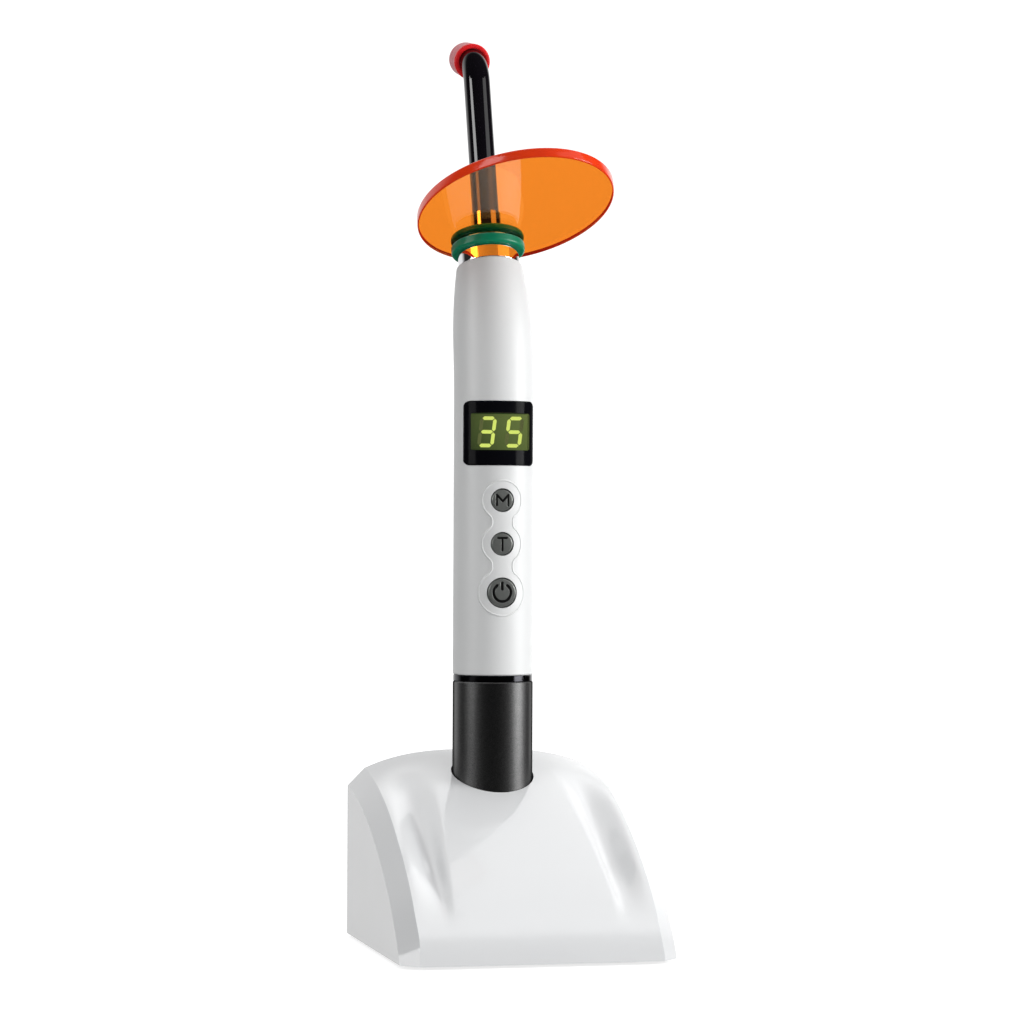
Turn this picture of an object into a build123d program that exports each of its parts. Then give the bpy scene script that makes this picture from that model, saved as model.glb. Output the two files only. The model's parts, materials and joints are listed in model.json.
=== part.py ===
from build123d import *
import os
from math import cos, radians, sin, sqrt

# Dental curing light: a pen-shaped cordless handpiece that stands in a wedge-shaped charging base.
# Millimetres, +Z up, the front faces -Y. The origin is the middle of the base's footprint on the table.

# Driving dimensions: charging base
BASE_HALF_W = 42.0
BASE_HALF_D = 44.3
PAD_T = 1.0
WALL = 2.2
PLATE_T = 2.2
BAND_X = 36.6
BAND_SLOPE = 1.0
CROWN_H = 5.7
SCOOP_DEPTH = 3.4

# Driving dimensions: handpiece
AXIS_Y = 23.4
HANDLE_R = 12.5
CASING_WALL = 1.8
PACK_BOTTOM_Z = 13.0
RING_BOTTOM_Z = 81.15
RING_T = 2.0
CASING_BOTTOM_Z = RING_BOTTOM_Z + RING_T + 0.05
BEND_START_Z = 166.0
NECK_LEAN = 17.0
BEND_RISE = 40.0
NECK_LENGTH = 5.05
RIM_R = 10.34
TAPER_LENGTH = 25.55
SOCKET_R = 8.7
WELL_GAP = 0.4

# Driving dimensions: keypad and display
POWER_Z = 108.8
TIME_Z = 123.9
MODE_Z = 137.4
SMALL_KEY_R = 3.5
POWER_KEY_R = 4.55
KEY_TRAVEL = 0.5
BEZEL_Z = 158.15
BEZEL_H = 19.9
BEZEL_HALF_W = 11.0
WINDOW_Z = 158.65
WINDOW_H = 11.5
WINDOW_HALF_W = 9.35
WINDOW_DEPTH = 8.3

# Driving dimensions: light guide, shield and tip, measured along the neck axis from the casing's rim
GUIDE_R = 4.2
CORE_R = 3.5
TIP_TURN = 60.0
TIP_BEND_R = 12.0
TIP_CORNER = 70.55
COLLAR_R = 9.65
COLLAR_TOP = 4.5
HUB_R = 6.2
SPIGOT_R = 6.5
SPIGOT_DEPTH = 12.0
SHIELD_HALF_W = 28.9
SHIELD_HALF_L = 42.0
SHIELD_OFFSET = 28.5
SHIELD_TURN = 4.6
SHIELD_T = 3.0
FLANGE_R = 11.57
LOWER_FLANGE_T = 3.0
UPPER_FLANGE_T = 2.0
CAP_MOUTH = 4.5
CAP_END = 16.8
CAP_R = 5.5

os.makedirs("parts", exist_ok=True)


def keep(part, name):
    """Label a finished piece and write it as its own file."""
    part.label = name
    export_step(part, f"parts/{name}.step")


def smooth(t):
    """Ease from 0 to 1 with flat ends."""
    t = min(max(t, 0.0), 1.0)
    return t * t * (3.0 - 2.0 * t)


# ---------------------------------------------------------------- charging base: outer form

FRONT_POINTS = [
    (-44.6, -1.0),
    (-43.0, 4.0),
    (-41.2, 7.8),
    (-37.5, 12.2),
    (-30.9, 19.0),
    (-17.7, 29.2),
    (-1.2, 39.0),
    (21.9, 48.4),
    (44.3, 53.0),
    (52.0, 54.2),
]
# The side profile runs up the front and back over the top, in the YZ plane.
front_line = Spline(*[Vector(0, y, z) for y, z in FRONT_POINTS])
# Construction solids reach well above and in front of the base.
SKY_Z = 90.0
FAR_FRONT = 70.0


def profile_point(u, inward):
    """Point of the side profile at 0..1, moved inward along its normal."""
    spot = front_line @ u
    along = front_line % u
    normal = Vector(0, -along.Z, along.Y)
    return spot - normal * inward


def crown(x, y):
    """Height of the arched top above the side profile."""
    rise = (max(y + BASE_HALF_D, 0.0) / (2 * BASE_HALF_D)) ** 1.5
    return CROWN_H * rise * (1.0 - (abs(x) / BAND_X) ** 2.9)


def scoop(x, y):
    """Depth of the two valleys beside the raised middle of the front."""
    along = smooth((y + 40.0) / 22.0) * (1.0 - smooth((y - 2.0) / 32.0))
    inner = min(20.0 + 5.0 * (10.0 - y) / 48.0, 24.0)
    floor = 27.5
    outer = 36.0
    if abs(x) < floor:
        across = smooth((abs(x) - inner) / (floor - inner))
    else:
        across = smooth((outer - abs(x)) / (outer - floor))
    return SCOOP_DEPTH * along * across


def skin_face(inward):
    """Curved front and top of the base, wider than the base itself."""
    rows = []
    for i in range(49):
        u = i / 48
        spot = profile_point(u, 0.0)
        row = []
        for j in range(-44, 45):
            across = profile_point(u, inward + scoop(j, spot.Y))
            row.append(across + Vector(0, 0, crown(j, spot.Y)))
        rows.append([Vector(j, p.Y, p.Z) for j, p in zip(range(-44, 45), row)])
    return Face.make_surface_from_array_of_points(rows, tol=0.02, min_deg=3, max_deg=5)


def band_wire(x, inward):
    """Everything in front of and above the side profile, on the plane at x."""
    points = [profile_point(i / 14, inward + (abs(x) - BAND_X) * BAND_SLOPE) for i in range(15)]
    points = [Vector(x, p.Y, p.Z) for p in points]
    line = Spline(*points)
    above = Vector(x, points[-1].Y, SKY_Z)
    ahead = Vector(x, -FAR_FRONT, SKY_Z)
    below = Vector(x, -FAR_FRONT, points[0].Z)
    return Wire([line] + Polyline(points[-1], above, ahead, below, points[0]).edges())


def wedge(inward, floor_z):
    """The base's outer form, or with inward > 0 the hollow inside its wall."""
    half_w = BASE_HALF_W - inward
    depth = BASE_HALF_D - inward + 60
    skin = skin_face(inward)
    outside = []
    for side in (-1, 1):
        near = band_wire(side * 34.0, inward * sqrt(2))
        far = band_wire(side * 45.0, inward * sqrt(2))
        outside.append(Solid.make_loft([near, far], ruled=True))
    with BuildPart() as body:
        with BuildSketch(Plane.XY.offset(floor_z)):
            with Locations((0, BASE_HALF_D - inward - depth / 2)):
                Rectangle(2 * half_w, depth)
        extrude(amount=SKY_Z - floor_z)
        extrude(to_extrude=skin, amount=2 * SKY_Z, dir=(0, 1, -1), mode=Mode.INTERSECT)
        add(outside, mode=Mode.SUBTRACT)
    return body.part


# Screw posts stand in the corners, clear of the contact board and the well.
POSTS = [(-31.0, -27.0), (31.0, -27.0), (-34.0, 36.0), (34.0, 36.0)]
POST_R = 3.4
SCREW_R = 1.25
PLATE_TOP = PAD_T + PLATE_T
WELL_R = HANDLE_R + WELL_GAP
WELL_TUBE_R = WELL_R + 1.7
WELL_TUBE_BOTTOM = 9.0
JACK_X = -25.0
JACK_Z = 12.0
JACK_NOSE_R = 4.0

outer_form = wedge(0.0, PAD_T)
inner_form = wedge(WALL, PAD_T - 1)

with BuildPart() as cavity:
    add(inner_form)
    with BuildSketch(Plane.XY.offset(PLATE_TOP)):
        with Locations(*POSTS):
            Circle(POST_R)
    extrude(amount=80, mode=Mode.SUBTRACT)
    with BuildSketch(Plane.XY.offset(WELL_TUBE_BOTTOM)):
        with Locations((0, AXIS_Y)):
            Circle(WELL_TUBE_R)
    extrude(amount=80, mode=Mode.SUBTRACT)

with BuildPart() as base_shell:
    add(outer_form)
    add(cavity.part, mode=Mode.SUBTRACT)
    with BuildSketch(Plane.XY):
        with Locations((0, AXIS_Y)):
            Circle(WELL_R)
    extrude(amount=90, mode=Mode.SUBTRACT)
    with BuildSketch(Plane.XY):
        with Locations(*POSTS):
            Circle(SCREW_R + 0.05)
    extrude(amount=14, mode=Mode.SUBTRACT)
    with BuildSketch(Plane.XZ.offset(-BASE_HALF_D - 1)):
        with Locations((JACK_X, JACK_Z)):
            Circle(JACK_NOSE_R + 0.3)
    extrude(amount=WALL + 2, mode=Mode.SUBTRACT)
keep(base_shell.part, "base_shell")

# ---------------------------------------------------------------- charging base: what it holds

PLATE_HALF_W = BASE_HALF_W - WALL - 0.3
PLATE_FRONT = -40.0
PLATE_BACK = BASE_HALF_D - WALL - 0.3
BOARD_BOTTOM = 5.0
BOARD_T = 1.6
BOARD_TOP = BOARD_BOTTOM + BOARD_T
BOARD_POSTS = [(-20.0, 2.0), (20.0, 2.0), (20.0, 38.0)]

with BuildPart() as base_plate:
    with BuildSketch(Plane.XY.offset(PAD_T)):
        with BuildLine():
            Polyline(
                (-PLATE_HALF_W, PLATE_BACK),
                (PLATE_HALF_W, PLATE_BACK),
                (PLATE_HALF_W, PLATE_FRONT + 7.0),
                (PLATE_HALF_W - 7.0, PLATE_FRONT),
                (-PLATE_HALF_W + 7.0, PLATE_FRONT),
                (-PLATE_HALF_W, PLATE_FRONT + 7.0),
                close=True,
            )
        make_face()
    extrude(amount=PLATE_T)
    with BuildSketch(Plane.XY.offset(PLATE_TOP)):
        with Locations(*BOARD_POSTS):
            Circle(2.6)
    extrude(amount=BOARD_BOTTOM - PLATE_TOP)
    with Locations(*[Location((x, y, PAD_T), (180, 0, 0)) for x, y in POSTS]):
        CounterSinkHole(radius=SCREW_R + 0.25, counter_sink_radius=2.9, depth=PLATE_T + 1)
keep(base_plate.part, "base_plate")

with BuildPart() as anti_slip_pad:
    with BuildSketch(Plane.XY):
        with Locations((0, 0.5)):
            RectangleRounded(70, 74, 6)
        with Locations(*POSTS):
            Circle(4.6, mode=Mode.SUBTRACT)
    extrude(amount=PAD_T)
keep(anti_slip_pad.part, "anti_slip_pad")

with BuildPart() as base_screws:
    for x, y in POSTS:
        with BuildSketch(Plane.XZ.offset(-y)):
            with BuildLine():
                Polyline(
                    (x, PAD_T + 0.3),
                    (x + 2.4, PAD_T + 0.3),
                    (x + 2.4, PAD_T + 0.5),
                    (x + SCREW_R, PAD_T + 1.6),
                    (x + SCREW_R, 12.0),
                    (x + 0.5, 13.0),
                    (x, 13.0),
                    close=True,
                )
            make_face()
        revolve(axis=Axis((x, y, 0), (0, 0, 1)))
        with BuildSketch(Plane.XY.offset(PAD_T)):
            with Locations((x, y)):
                Rectangle(3.2, 0.6)
                Rectangle(0.6, 3.2)
        extrude(amount=0.9, mode=Mode.SUBTRACT)
keep(base_screws.part, "base_screws")

with BuildPart() as ballast_weight:
    with BuildSketch(Plane.XY.offset(PLATE_TOP)):
        with Locations((0, -17.0)):
            RectangleRounded(44, 26, 3)
    extrude(amount=6)
    chamfer(ballast_weight.faces().sort_by(Axis.Z)[-1].edges(), length=0.8)
keep(ballast_weight.part, "ballast_weight")

with BuildPart() as charger_board:
    with BuildSketch(Plane.XY.offset(BOARD_BOTTOM)):
        with Locations((-2.5, 19.5)):
            Rectangle(54, 43)
    extrude(amount=BOARD_T)
    chamfer(charger_board.edges().filter_by(Axis.Z).group_by(Axis.Y)[0], length=2)
keep(charger_board.part, "charger_board")

with BuildPart() as charger_parts:
    with BuildSketch(Plane.XY.offset(BOARD_TOP)):
        with Locations((-24, 5)):
            RectangleRounded(7, 7, 1)
    extrude(amount=4)
    with BuildSketch(Plane.XY.offset(BOARD_TOP)):
        with Locations((-24, 15)):
            Rectangle(5, 4)
        with Locations((19, 9)):
            Rectangle(6, 5)
        with Locations((19, 16)):
            Rectangle(3, 1.6)
    extrude(amount=1.5)
    with BuildSketch(Plane.XY.offset(BOARD_TOP)):
        with Locations((21, 28)):
            Circle(3)
    extrude(amount=7)
keep(charger_parts.part, "charger_parts")

with BuildPart() as dc_jack:
    with BuildSketch(Plane.XY.offset(BOARD_TOP)):
        with Locations((JACK_X, 35.9)):
            Rectangle(9, 12)
    extrude(amount=JACK_Z - BOARD_TOP + 4.6)
    with BuildSketch(Plane.XZ.offset(-BASE_HALF_D)):
        with Locations((JACK_X, JACK_Z)):
            Circle(JACK_NOSE_R)
    extrude(amount=5)
    with BuildSketch(Plane.XZ.offset(-BASE_HALF_D)):
        with Locations((JACK_X, JACK_Z)):
            Circle(2.85)
            Circle(1.0, mode=Mode.SUBTRACT)
    extrude(amount=9.5, mode=Mode.SUBTRACT)
    with BuildSketch(Plane.XZ.offset(-BASE_HALF_D)):
        with Locations((JACK_X, JACK_Z)):
            Circle(1.2)
    extrude(amount=1.5, mode=Mode.SUBTRACT)
keep(dc_jack.part, "dc_jack")

# The contact block closes the well's bottom; its raised rim carries the handpiece.
PIN_SPOTS = [(0.0, AXIS_Y), (7.5, AXIS_Y)]
PIN_R = 1.0
PIN_TIP_Z = PACK_BOTTOM_Z - 0.05
PIN_COLLAR_Z = 10.2

with BuildPart() as dock_contact_block:
    with BuildSketch(Plane.XY.offset(BOARD_TOP)):
        with Locations((0, AXIS_Y)):
            Circle(WELL_TUBE_R - 0.3)
    extrude(amount=WELL_TUBE_BOTTOM - BOARD_TOP)
    with BuildSketch(Plane.XY.offset(WELL_TUBE_BOTTOM)):
        with Locations((0, AXIS_Y)):
            Circle(WELL_R - 0.1)
    extrude(amount=PACK_BOTTOM_Z - WELL_TUBE_BOTTOM)
    with BuildSketch(Plane.XY.offset(PACK_BOTTOM_Z - 1)):
        with Locations((0, AXIS_Y)):
            Circle(10.9)
    extrude(amount=2, mode=Mode.SUBTRACT)
    with BuildSketch(Plane.XY):
        with Locations(*PIN_SPOTS):
            Circle(PIN_R + 0.08)
    extrude(amount=20, mode=Mode.SUBTRACT)
    with BuildSketch(Plane.XY):
        with Locations(*PIN_SPOTS):
            Circle(1.6)
    extrude(amount=PIN_COLLAR_Z + 0.1, mode=Mode.SUBTRACT)
keep(dock_contact_block.part, "dock_contact_block")

with BuildPart() as charge_pins:
    with BuildSketch(Plane.XY.offset(PIN_COLLAR_Z - 0.8)):
        with Locations(*PIN_SPOTS):
            Circle(1.35)
    extrude(amount=0.8)
    with BuildSketch(Plane.XY.offset(PIN_COLLAR_Z)):
        with Locations(*PIN_SPOTS):
            Circle(PIN_R)
    extrude(amount=PIN_TIP_Z - PIN_COLLAR_Z)
    fillet(charge_pins.faces().group_by(Axis.Z)[-1].edges(), radius=0.6)
keep(charge_pins.part, "charge_pins")

SPRING_HEIGHT = PIN_COLLAR_Z - 0.85 - BOARD_TOP - 0.3
SPRING_FEET = [(x, y, BOARD_TOP + 0.2) for x, y in PIN_SPOTS]
coils = [Helix(pitch=0.6, height=SPRING_HEIGHT, radius=1.05, center=foot) for foot in SPRING_FEET]
with BuildPart() as pin_springs:
    for coil in coils:
        with BuildSketch(Plane(origin=coil @ 0, z_dir=coil % 0)):
            Circle(0.15)
        sweep(path=coil, is_frenet=True)
keep(pin_springs.part, "pin_springs")

# ---------------------------------------------------------------- battery pack

FROM_BELOW = (Align.CENTER, Align.CENTER, Align.MIN)
SLEEVE_IN_R = 11.3
CELL_R = 9.15
CELL_BOTTOM = 21.0
CELL_H = 65.0
NECK_R = 10.2
NECK_TOP = 91.0
CARRIER_IN_R = CELL_R + 0.2


def disc(z, radius, height, hole=0.0):
    """Round plate or ring on the handle's axis, for use inside a part."""
    with Locations((0, AXIS_Y, z)):
        Cylinder(radius, height, align=FROM_BELOW)
        if hole:
            Cylinder(hole, height, align=FROM_BELOW, mode=Mode.SUBTRACT)


with BuildPart() as battery_sleeve:
    disc(PACK_BOTTOM_Z + 2.0, HANDLE_R, RING_BOTTOM_Z - 0.05 - PACK_BOTTOM_Z - 2.0, hole=SLEEVE_IN_R)
    outer_edges = battery_sleeve.edges().filter_by(GeomType.CIRCLE).group_by(SortBy.RADIUS)[-1]
    chamfer(outer_edges, length=0.25)
keep(battery_sleeve.part, "battery_sleeve")

with BuildPart() as battery_end_cap:
    disc(PACK_BOTTOM_Z, HANDLE_R - 0.3, 2.0)
    chamfer(battery_end_cap.faces().sort_by(Axis.Z)[0].edges(), length=0.8)
    disc(PACK_BOTTOM_Z + 2.0, SLEEVE_IN_R - 0.05, 4.0, hole=9.0)
    with BuildSketch(Plane.XY.offset(PACK_BOTTOM_Z)):
        with Locations((0, AXIS_Y)):
            Circle(9.1)
            Circle(5.9, mode=Mode.SUBTRACT)
            Circle(2.7)
    extrude(amount=0.9, mode=Mode.SUBTRACT)
keep(battery_end_cap.part, "battery_end_cap")

with BuildPart() as ring_contact:
    disc(PACK_BOTTOM_Z + 0.05, 9.0, 0.85, hole=6.0)
keep(ring_contact.part, "ring_contact")

with BuildPart() as centre_contact:
    disc(PACK_BOTTOM_Z + 0.05, 2.6, 0.85)
keep(centre_contact.part, "centre_contact")

with BuildPart() as battery_carrier:
    disc(PACK_BOTTOM_Z + 6.1, SLEEVE_IN_R - 0.1, RING_BOTTOM_Z - PACK_BOTTOM_Z - 6.2, hole=CARRIER_IN_R)
    disc(RING_BOTTOM_Z - 0.1, NECK_R, NECK_TOP - RING_BOTTOM_Z + 0.1, hole=CARRIER_IN_R)
    chamfer(battery_carrier.faces().sort_by(Axis.Z)[-1].outer_wire().edges(), length=0.5)
keep(battery_carrier.part, "battery_carrier")

with BuildPart() as protection_board:
    disc(CELL_BOTTOM - 1.8, 8.9, 1.0)
    with BuildSketch(Plane.XY.offset(CELL_BOTTOM - 1.8)):
        with Locations((-3, AXIS_Y + 2)):
            Rectangle(5, 4)
        with Locations((4, AXIS_Y - 3)):
            Rectangle(3, 2)
    extrude(amount=-1.1)
keep(protection_board.part, "protection_board")

with BuildPart() as battery_cell:
    disc(CELL_BOTTOM, CELL_R, CELL_H)
    fillet(battery_cell.edges(), radius=0.7)
    disc(CELL_BOTTOM + CELL_H, 3.0, 1.4)
keep(battery_cell.part, "battery_cell")

with BuildPart() as battery_top_cap:
    disc(CELL_BOTTOM + CELL_H + 1.5, CARRIER_IN_R - 0.1, 2.8, hole=2.6)
keep(battery_top_cap.part, "battery_top_cap")

with BuildPart() as battery_pole:
    disc(CELL_BOTTOM + CELL_H + 1.5, 2.5, 3.6)
    fillet(battery_pole.faces().sort_by(Axis.Z)[-1].edges(), radius=0.6)
keep(battery_pole.part, "battery_pole")

with BuildPart() as joint_ring:
    disc(RING_BOTTOM_Z, HANDLE_R - 0.1, RING_T, hole=NECK_R + 0.3)
    rims = joint_ring.edges().filter_by(GeomType.CIRCLE).group_by(SortBy.RADIUS)[-1]
    chamfer(rims, length=0.2)
    with BuildSketch(Plane.XY.offset(RING_BOTTOM_Z + 0.7)):
        with Locations((7.8, AXIS_Y - 9.6)):
            Circle(0.7)
    extrude(amount=RING_T, mode=Mode.SUBTRACT)
keep(joint_ring.part, "joint_ring")

# ---------------------------------------------------------------- handle casing

# The casing's centre line is vertical, then bends back on an arc and ends in a short straight neck.
BEND_R = BEND_RISE / sin(radians(NECK_LEAN))
BEND_LENGTH = BEND_R * radians(NECK_LEAN)
NECK_DIR = Vector(0, sin(radians(NECK_LEAN)), cos(radians(NECK_LEAN)))
BEND_TOP = Vector(0, AXIS_Y + BEND_R * (1 - cos(radians(NECK_LEAN))), BEND_START_Z + BEND_RISE)
RIM = BEND_TOP + NECK_DIR * NECK_LENGTH


def spine_plane(s):
    """Plane across the casing, s along its centre line from where the bend starts."""
    turn = radians(NECK_LEAN) * min(max(s / BEND_LENGTH, 0.0), 1.0)
    direction = Vector(0, sin(turn), cos(turn))
    spot = Vector(0, AXIS_Y + BEND_R * (1 - cos(turn)), BEND_START_Z + BEND_R * sin(turn))
    if s < 0:
        spot = Vector(0, AXIS_Y, BEND_START_Z + s)
    if s > BEND_LENGTH:
        spot = BEND_TOP + NECK_DIR * (s - BEND_LENGTH)
    return Plane(origin=spot, x_dir=(1, 0, 0), z_dir=direction)


def neck_plane(t):
    """Plane across the neck, t above the casing's rim."""
    return Plane(origin=RIM + NECK_DIR * t, x_dir=(1, 0, 0), z_dir=NECK_DIR)


def casing_radius(s):
    """Outer radius along the centre line: a cylinder that rounds in towards the rim."""
    past = max(s - (BEND_LENGTH + NECK_LENGTH - TAPER_LENGTH), 0.0)
    return HANDLE_R - (HANDLE_R - RIM_R) * (past / TAPER_LENGTH) ** 2


def head_form(inset):
    """The bent and tapered upper part of the casing, or its hollow."""
    with BuildPart() as form:
        stations = [-14.0, -7.0, 0.0]
        stations += [(BEND_LENGTH + NECK_LENGTH) * i / 9 for i in range(1, 10)]
        for s in stations:
            with BuildSketch(spine_plane(s)):
                Circle(casing_radius(s) - inset)
        loft()
    return form.part


HEAD_BOTTOM = BEND_START_Z - 14.0
KEYS = [(POWER_Z, POWER_KEY_R, 7.3), (TIME_Z, SMALL_KEY_R, 6.3), (MODE_Z, SMALL_KEY_R, 6.3)]
KEY_GAP = 0.2
OUTLINE_W = 0.45
OUTLINE_PROUD = 0.2
SADDLE_IN_R = 11.7
FRONT_PLANE = Plane(origin=(0, AXIS_Y, 0), x_dir=(1, 0, 0), z_dir=(0, -1, 0))


def ring_space(inner, outer):
    """Tube around the handle's axis, as tall as the handle."""
    with BuildPart() as tube:
        disc(CASING_BOTTOM_Z + 1, outer, 120, hole=inner)
    return tube.part


with BuildSketch(FRONT_PLANE) as keypad_area:
    for key_z, _, ring_r in KEYS:
        with Locations((0, key_z)):
            Circle(ring_r)
    with Locations((0, (POWER_Z + MODE_Z) / 2)):
        Rectangle(6.8, MODE_Z - POWER_Z)
    fillet(keypad_area.vertices().filter_by(lambda v: abs(abs(v.X) - 3.4) < 0.01), radius=2.2)

outline_band = ring_space(HANDLE_R - 0.4, HANDLE_R + OUTLINE_PROUD)
pocket_band = ring_space(SADDLE_IN_R, HANDLE_R + 1)
saddle_band = ring_space(SADDLE_IN_R + 0.05, HANDLE_R + 0.25)
plug_band = ring_space(2.0, HANDLE_R - 0.3)
head_outside = head_form(0.0)
head_inside = head_form(CASING_WALL)

with BuildPart() as keypad_outline:
    with BuildSketch(FRONT_PLANE):
        add(keypad_area.sketch)
        offset(keypad_area.sketch, amount=-OUTLINE_W, mode=Mode.SUBTRACT)
    extrude(amount=HANDLE_R + 2)
    add(outline_band, mode=Mode.INTERSECT)

with BuildPart() as handle_casing:
    disc(CASING_BOTTOM_Z, HANDLE_R, HEAD_BOTTOM - CASING_BOTTOM_Z)
    add(head_outside)
    fillet(handle_casing.faces().sort_by(Axis.Z)[-1].edges(), radius=0.5)
    chamfer(handle_casing.faces().sort_by(Axis.Z)[0].edges(), length=0.35)
    add(keypad_outline.part)
    with BuildSketch(Plane.XY.offset(CASING_BOTTOM_Z)):
        with Locations((0, AXIS_Y)):
            Circle(SLEEVE_IN_R)
    extrude(amount=9, mode=Mode.SUBTRACT)
    with BuildSketch(Plane.XY.offset(CASING_BOTTOM_Z)):
        with Locations((0, AXIS_Y)):
            Circle(HANDLE_R - CASING_WALL - 0.05)
    extrude(amount=HEAD_BOTTOM - CASING_BOTTOM_Z + 1, mode=Mode.SUBTRACT)
    add(head_inside, mode=Mode.SUBTRACT)
    with BuildSketch(neck_plane(-14.5)):
        Circle(SOCKET_R + 0.05)
    extrude(amount=20, mode=Mode.SUBTRACT)
    with BuildSketch(FRONT_PLANE):
        for key_z, key_r, _ in KEYS:
            with Locations((0, key_z)):
                Circle(key_r + KEY_GAP)
    extrude(amount=HANDLE_R + 2, mode=Mode.SUBTRACT)
    with BuildSketch(FRONT_PLANE.offset(5.0)):
        with Locations((0, BEZEL_Z)):
            Rectangle(20.4, BEZEL_H - 2.0)
    extrude(amount=HANDLE_R, mode=Mode.SUBTRACT)
with BuildPart() as saddle_pocket:
    with BuildSketch(FRONT_PLANE.offset(3.0)):
        with Locations((0, BEZEL_Z)):
            RectangleRounded(2 * BEZEL_HALF_W + 0.2, BEZEL_H + 0.2, 1.7)
    extrude(amount=HANDLE_R)
    add(pocket_band, mode=Mode.INTERSECT)
with BuildPart() as cut_casing:
    add(handle_casing.part)
    add(saddle_pocket.part, mode=Mode.SUBTRACT)
keep(cut_casing.part, "handle_casing")

# ---------------------------------------------------------------- display and keypad

with BuildPart() as bezel_saddle:
    with BuildSketch(FRONT_PLANE.offset(3.0)):
        with Locations((0, BEZEL_Z)):
            RectangleRounded(2 * BEZEL_HALF_W, BEZEL_H, 1.6)
    extrude(amount=HANDLE_R)
    add(saddle_band, mode=Mode.INTERSECT)
    fillet(bezel_saddle.edges().filter_by(GeomType.CIRCLE).group_by(SortBy.RADIUS)[-1], radius=0.2)

with BuildPart() as bezel_plug:
    with BuildSketch(FRONT_PLANE.offset(7.0)):
        with Locations((0, BEZEL_Z)):
            Rectangle(20.0, BEZEL_H - 2.4)
    extrude(amount=HANDLE_R - 6.0)
    add(plug_band, mode=Mode.INTERSECT)

with BuildPart() as display_bezel:
    add(bezel_saddle.part)
    add(bezel_plug.part)
    with BuildSketch(FRONT_PLANE.offset(5.0)):
        with Locations((0, WINDOW_Z)):
            RectangleRounded(2 * WINDOW_HALF_W, WINDOW_H, 0.6)
    extrude(amount=HANDLE_R, mode=Mode.SUBTRACT)
keep(display_bezel.part, "display_bezel")

with BuildPart() as display_window:
    with BuildSketch(FRONT_PLANE.offset(WINDOW_DEPTH - 1.0)):
        with Locations((0, WINDOW_Z)):
            RectangleRounded(2 * WINDOW_HALF_W - 0.1, WINDOW_H - 0.1, 0.55)
    extrude(amount=1.0)
keep(display_window.part, "display_window")

BOARD_FRONT = 6.0
with BuildPart() as digit_display:
    with BuildSketch(FRONT_PLANE.offset(BOARD_FRONT + 0.05)):
        with Locations((0, WINDOW_Z)):
            Rectangle(18.2, WINDOW_H - 0.3)
    extrude(amount=WINDOW_DEPTH - 1.05 - BOARD_FRONT - 0.05)
keep(digit_display.part, "digit_display")

with BuildPart() as main_board:
    with BuildSketch(FRONT_PLANE.offset(BOARD_FRONT - 1.2)):
        with Locations((0, 133.5)):
            Rectangle(16.8, 71)
    extrude(amount=1.2)
keep(main_board.part, "main_board")

with BuildPart() as tact_switches:
    for key_z, _, _ in KEYS:
        with BuildSketch(FRONT_PLANE.offset(BOARD_FRONT)):
            with Locations((0, key_z)):
                Rectangle(6, 6)
        extrude(amount=1.3)
        with BuildSketch(FRONT_PLANE.offset(BOARD_FRONT + 1.3)):
            with Locations((0, key_z)):
                Circle(1.5)
        extrude(amount=0.6)
keep(tact_switches.part, "tact_switches")

with BuildPart() as board_chips:
    with BuildSketch(FRONT_PLANE.offset(BOARD_FRONT - 1.2)):
        with Locations((0, 122)):
            Rectangle(7, 7)
        with Locations((4, 108)):
            Rectangle(4, 3)
    extrude(amount=-1.2)
    with BuildSketch(FRONT_PLANE.offset(BOARD_FRONT - 1.2)):
        with Locations((-3, 140)):
            RectangleRounded(6, 6, 0.8)
    extrude(amount=-3)
keep(board_chips.part, "board_chips")

with BuildPart() as buzzer:
    with BuildSketch(FRONT_PLANE.offset(BOARD_FRONT - 1.2)):
        with Locations((0, 157)):
            Circle(4.5)
    extrude(amount=-4)
    with BuildSketch(FRONT_PLANE.offset(BOARD_FRONT - 5.2)):
        with Locations((0, 157)):
            Circle(0.8)
    extrude(amount=1, mode=Mode.SUBTRACT)
keep(buzzer.part, "buzzer")

with BuildPart() as inner_chassis:
    disc(97.0, 10.4, 74.0, hole=9.0)
    with BuildSketch(FRONT_PLANE.offset(-3.0)):
        with Locations((0, 133)):
            Rectangle(30, 100)
    extrude(amount=20, mode=Mode.SUBTRACT)
    with BuildSketch(FRONT_PLANE.offset(BOARD_FRONT - 1.3)):
        with Locations((-7.4, 101), (7.4, 101), (-7.4, 148), (7.4, 148)):
            Rectangle(1.6, 4)
    extrude(amount=-11)
keep(inner_chassis.part, "inner_chassis")

TRAVEL_STOP = BOARD_FRONT + 1.9 + KEY_TRAVEL + 0.1


def make_key(key_z, key_r, flange_front):
    """Push button: round cap with a softly crowned face, a retaining flange and a rear post."""
    with BuildPart() as key:
        with BuildSketch(FRONT_PLANE.offset(flange_front)):
            with Locations((0, key_z)):
                Circle(key_r)
        extrude(amount=HANDLE_R - 0.1 - flange_front)
        fillet(key.faces().sort_by(Axis.Y)[0].edges(), radius=0.45)
        with BuildSketch(FRONT_PLANE.offset(flange_front)):
            with Locations((0, key_z)):
                Circle(key_r + 0.55)
        extrude(amount=-0.5)
        with BuildSketch(FRONT_PLANE.offset(flange_front - 0.5)):
            with Locations((0, key_z)):
                Circle(1.2)
        extrude(amount=TRAVEL_STOP - flange_front + 0.5)
    return key.part


keep(make_key(MODE_Z, SMALL_KEY_R, 9.5), "mode_button")
keep(make_key(TIME_Z, SMALL_KEY_R, 9.5), "time_button")
keep(make_key(POWER_Z, POWER_KEY_R, 9.1), "power_button")

# ---------------------------------------------------------------- handle: lower end and light engine

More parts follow.
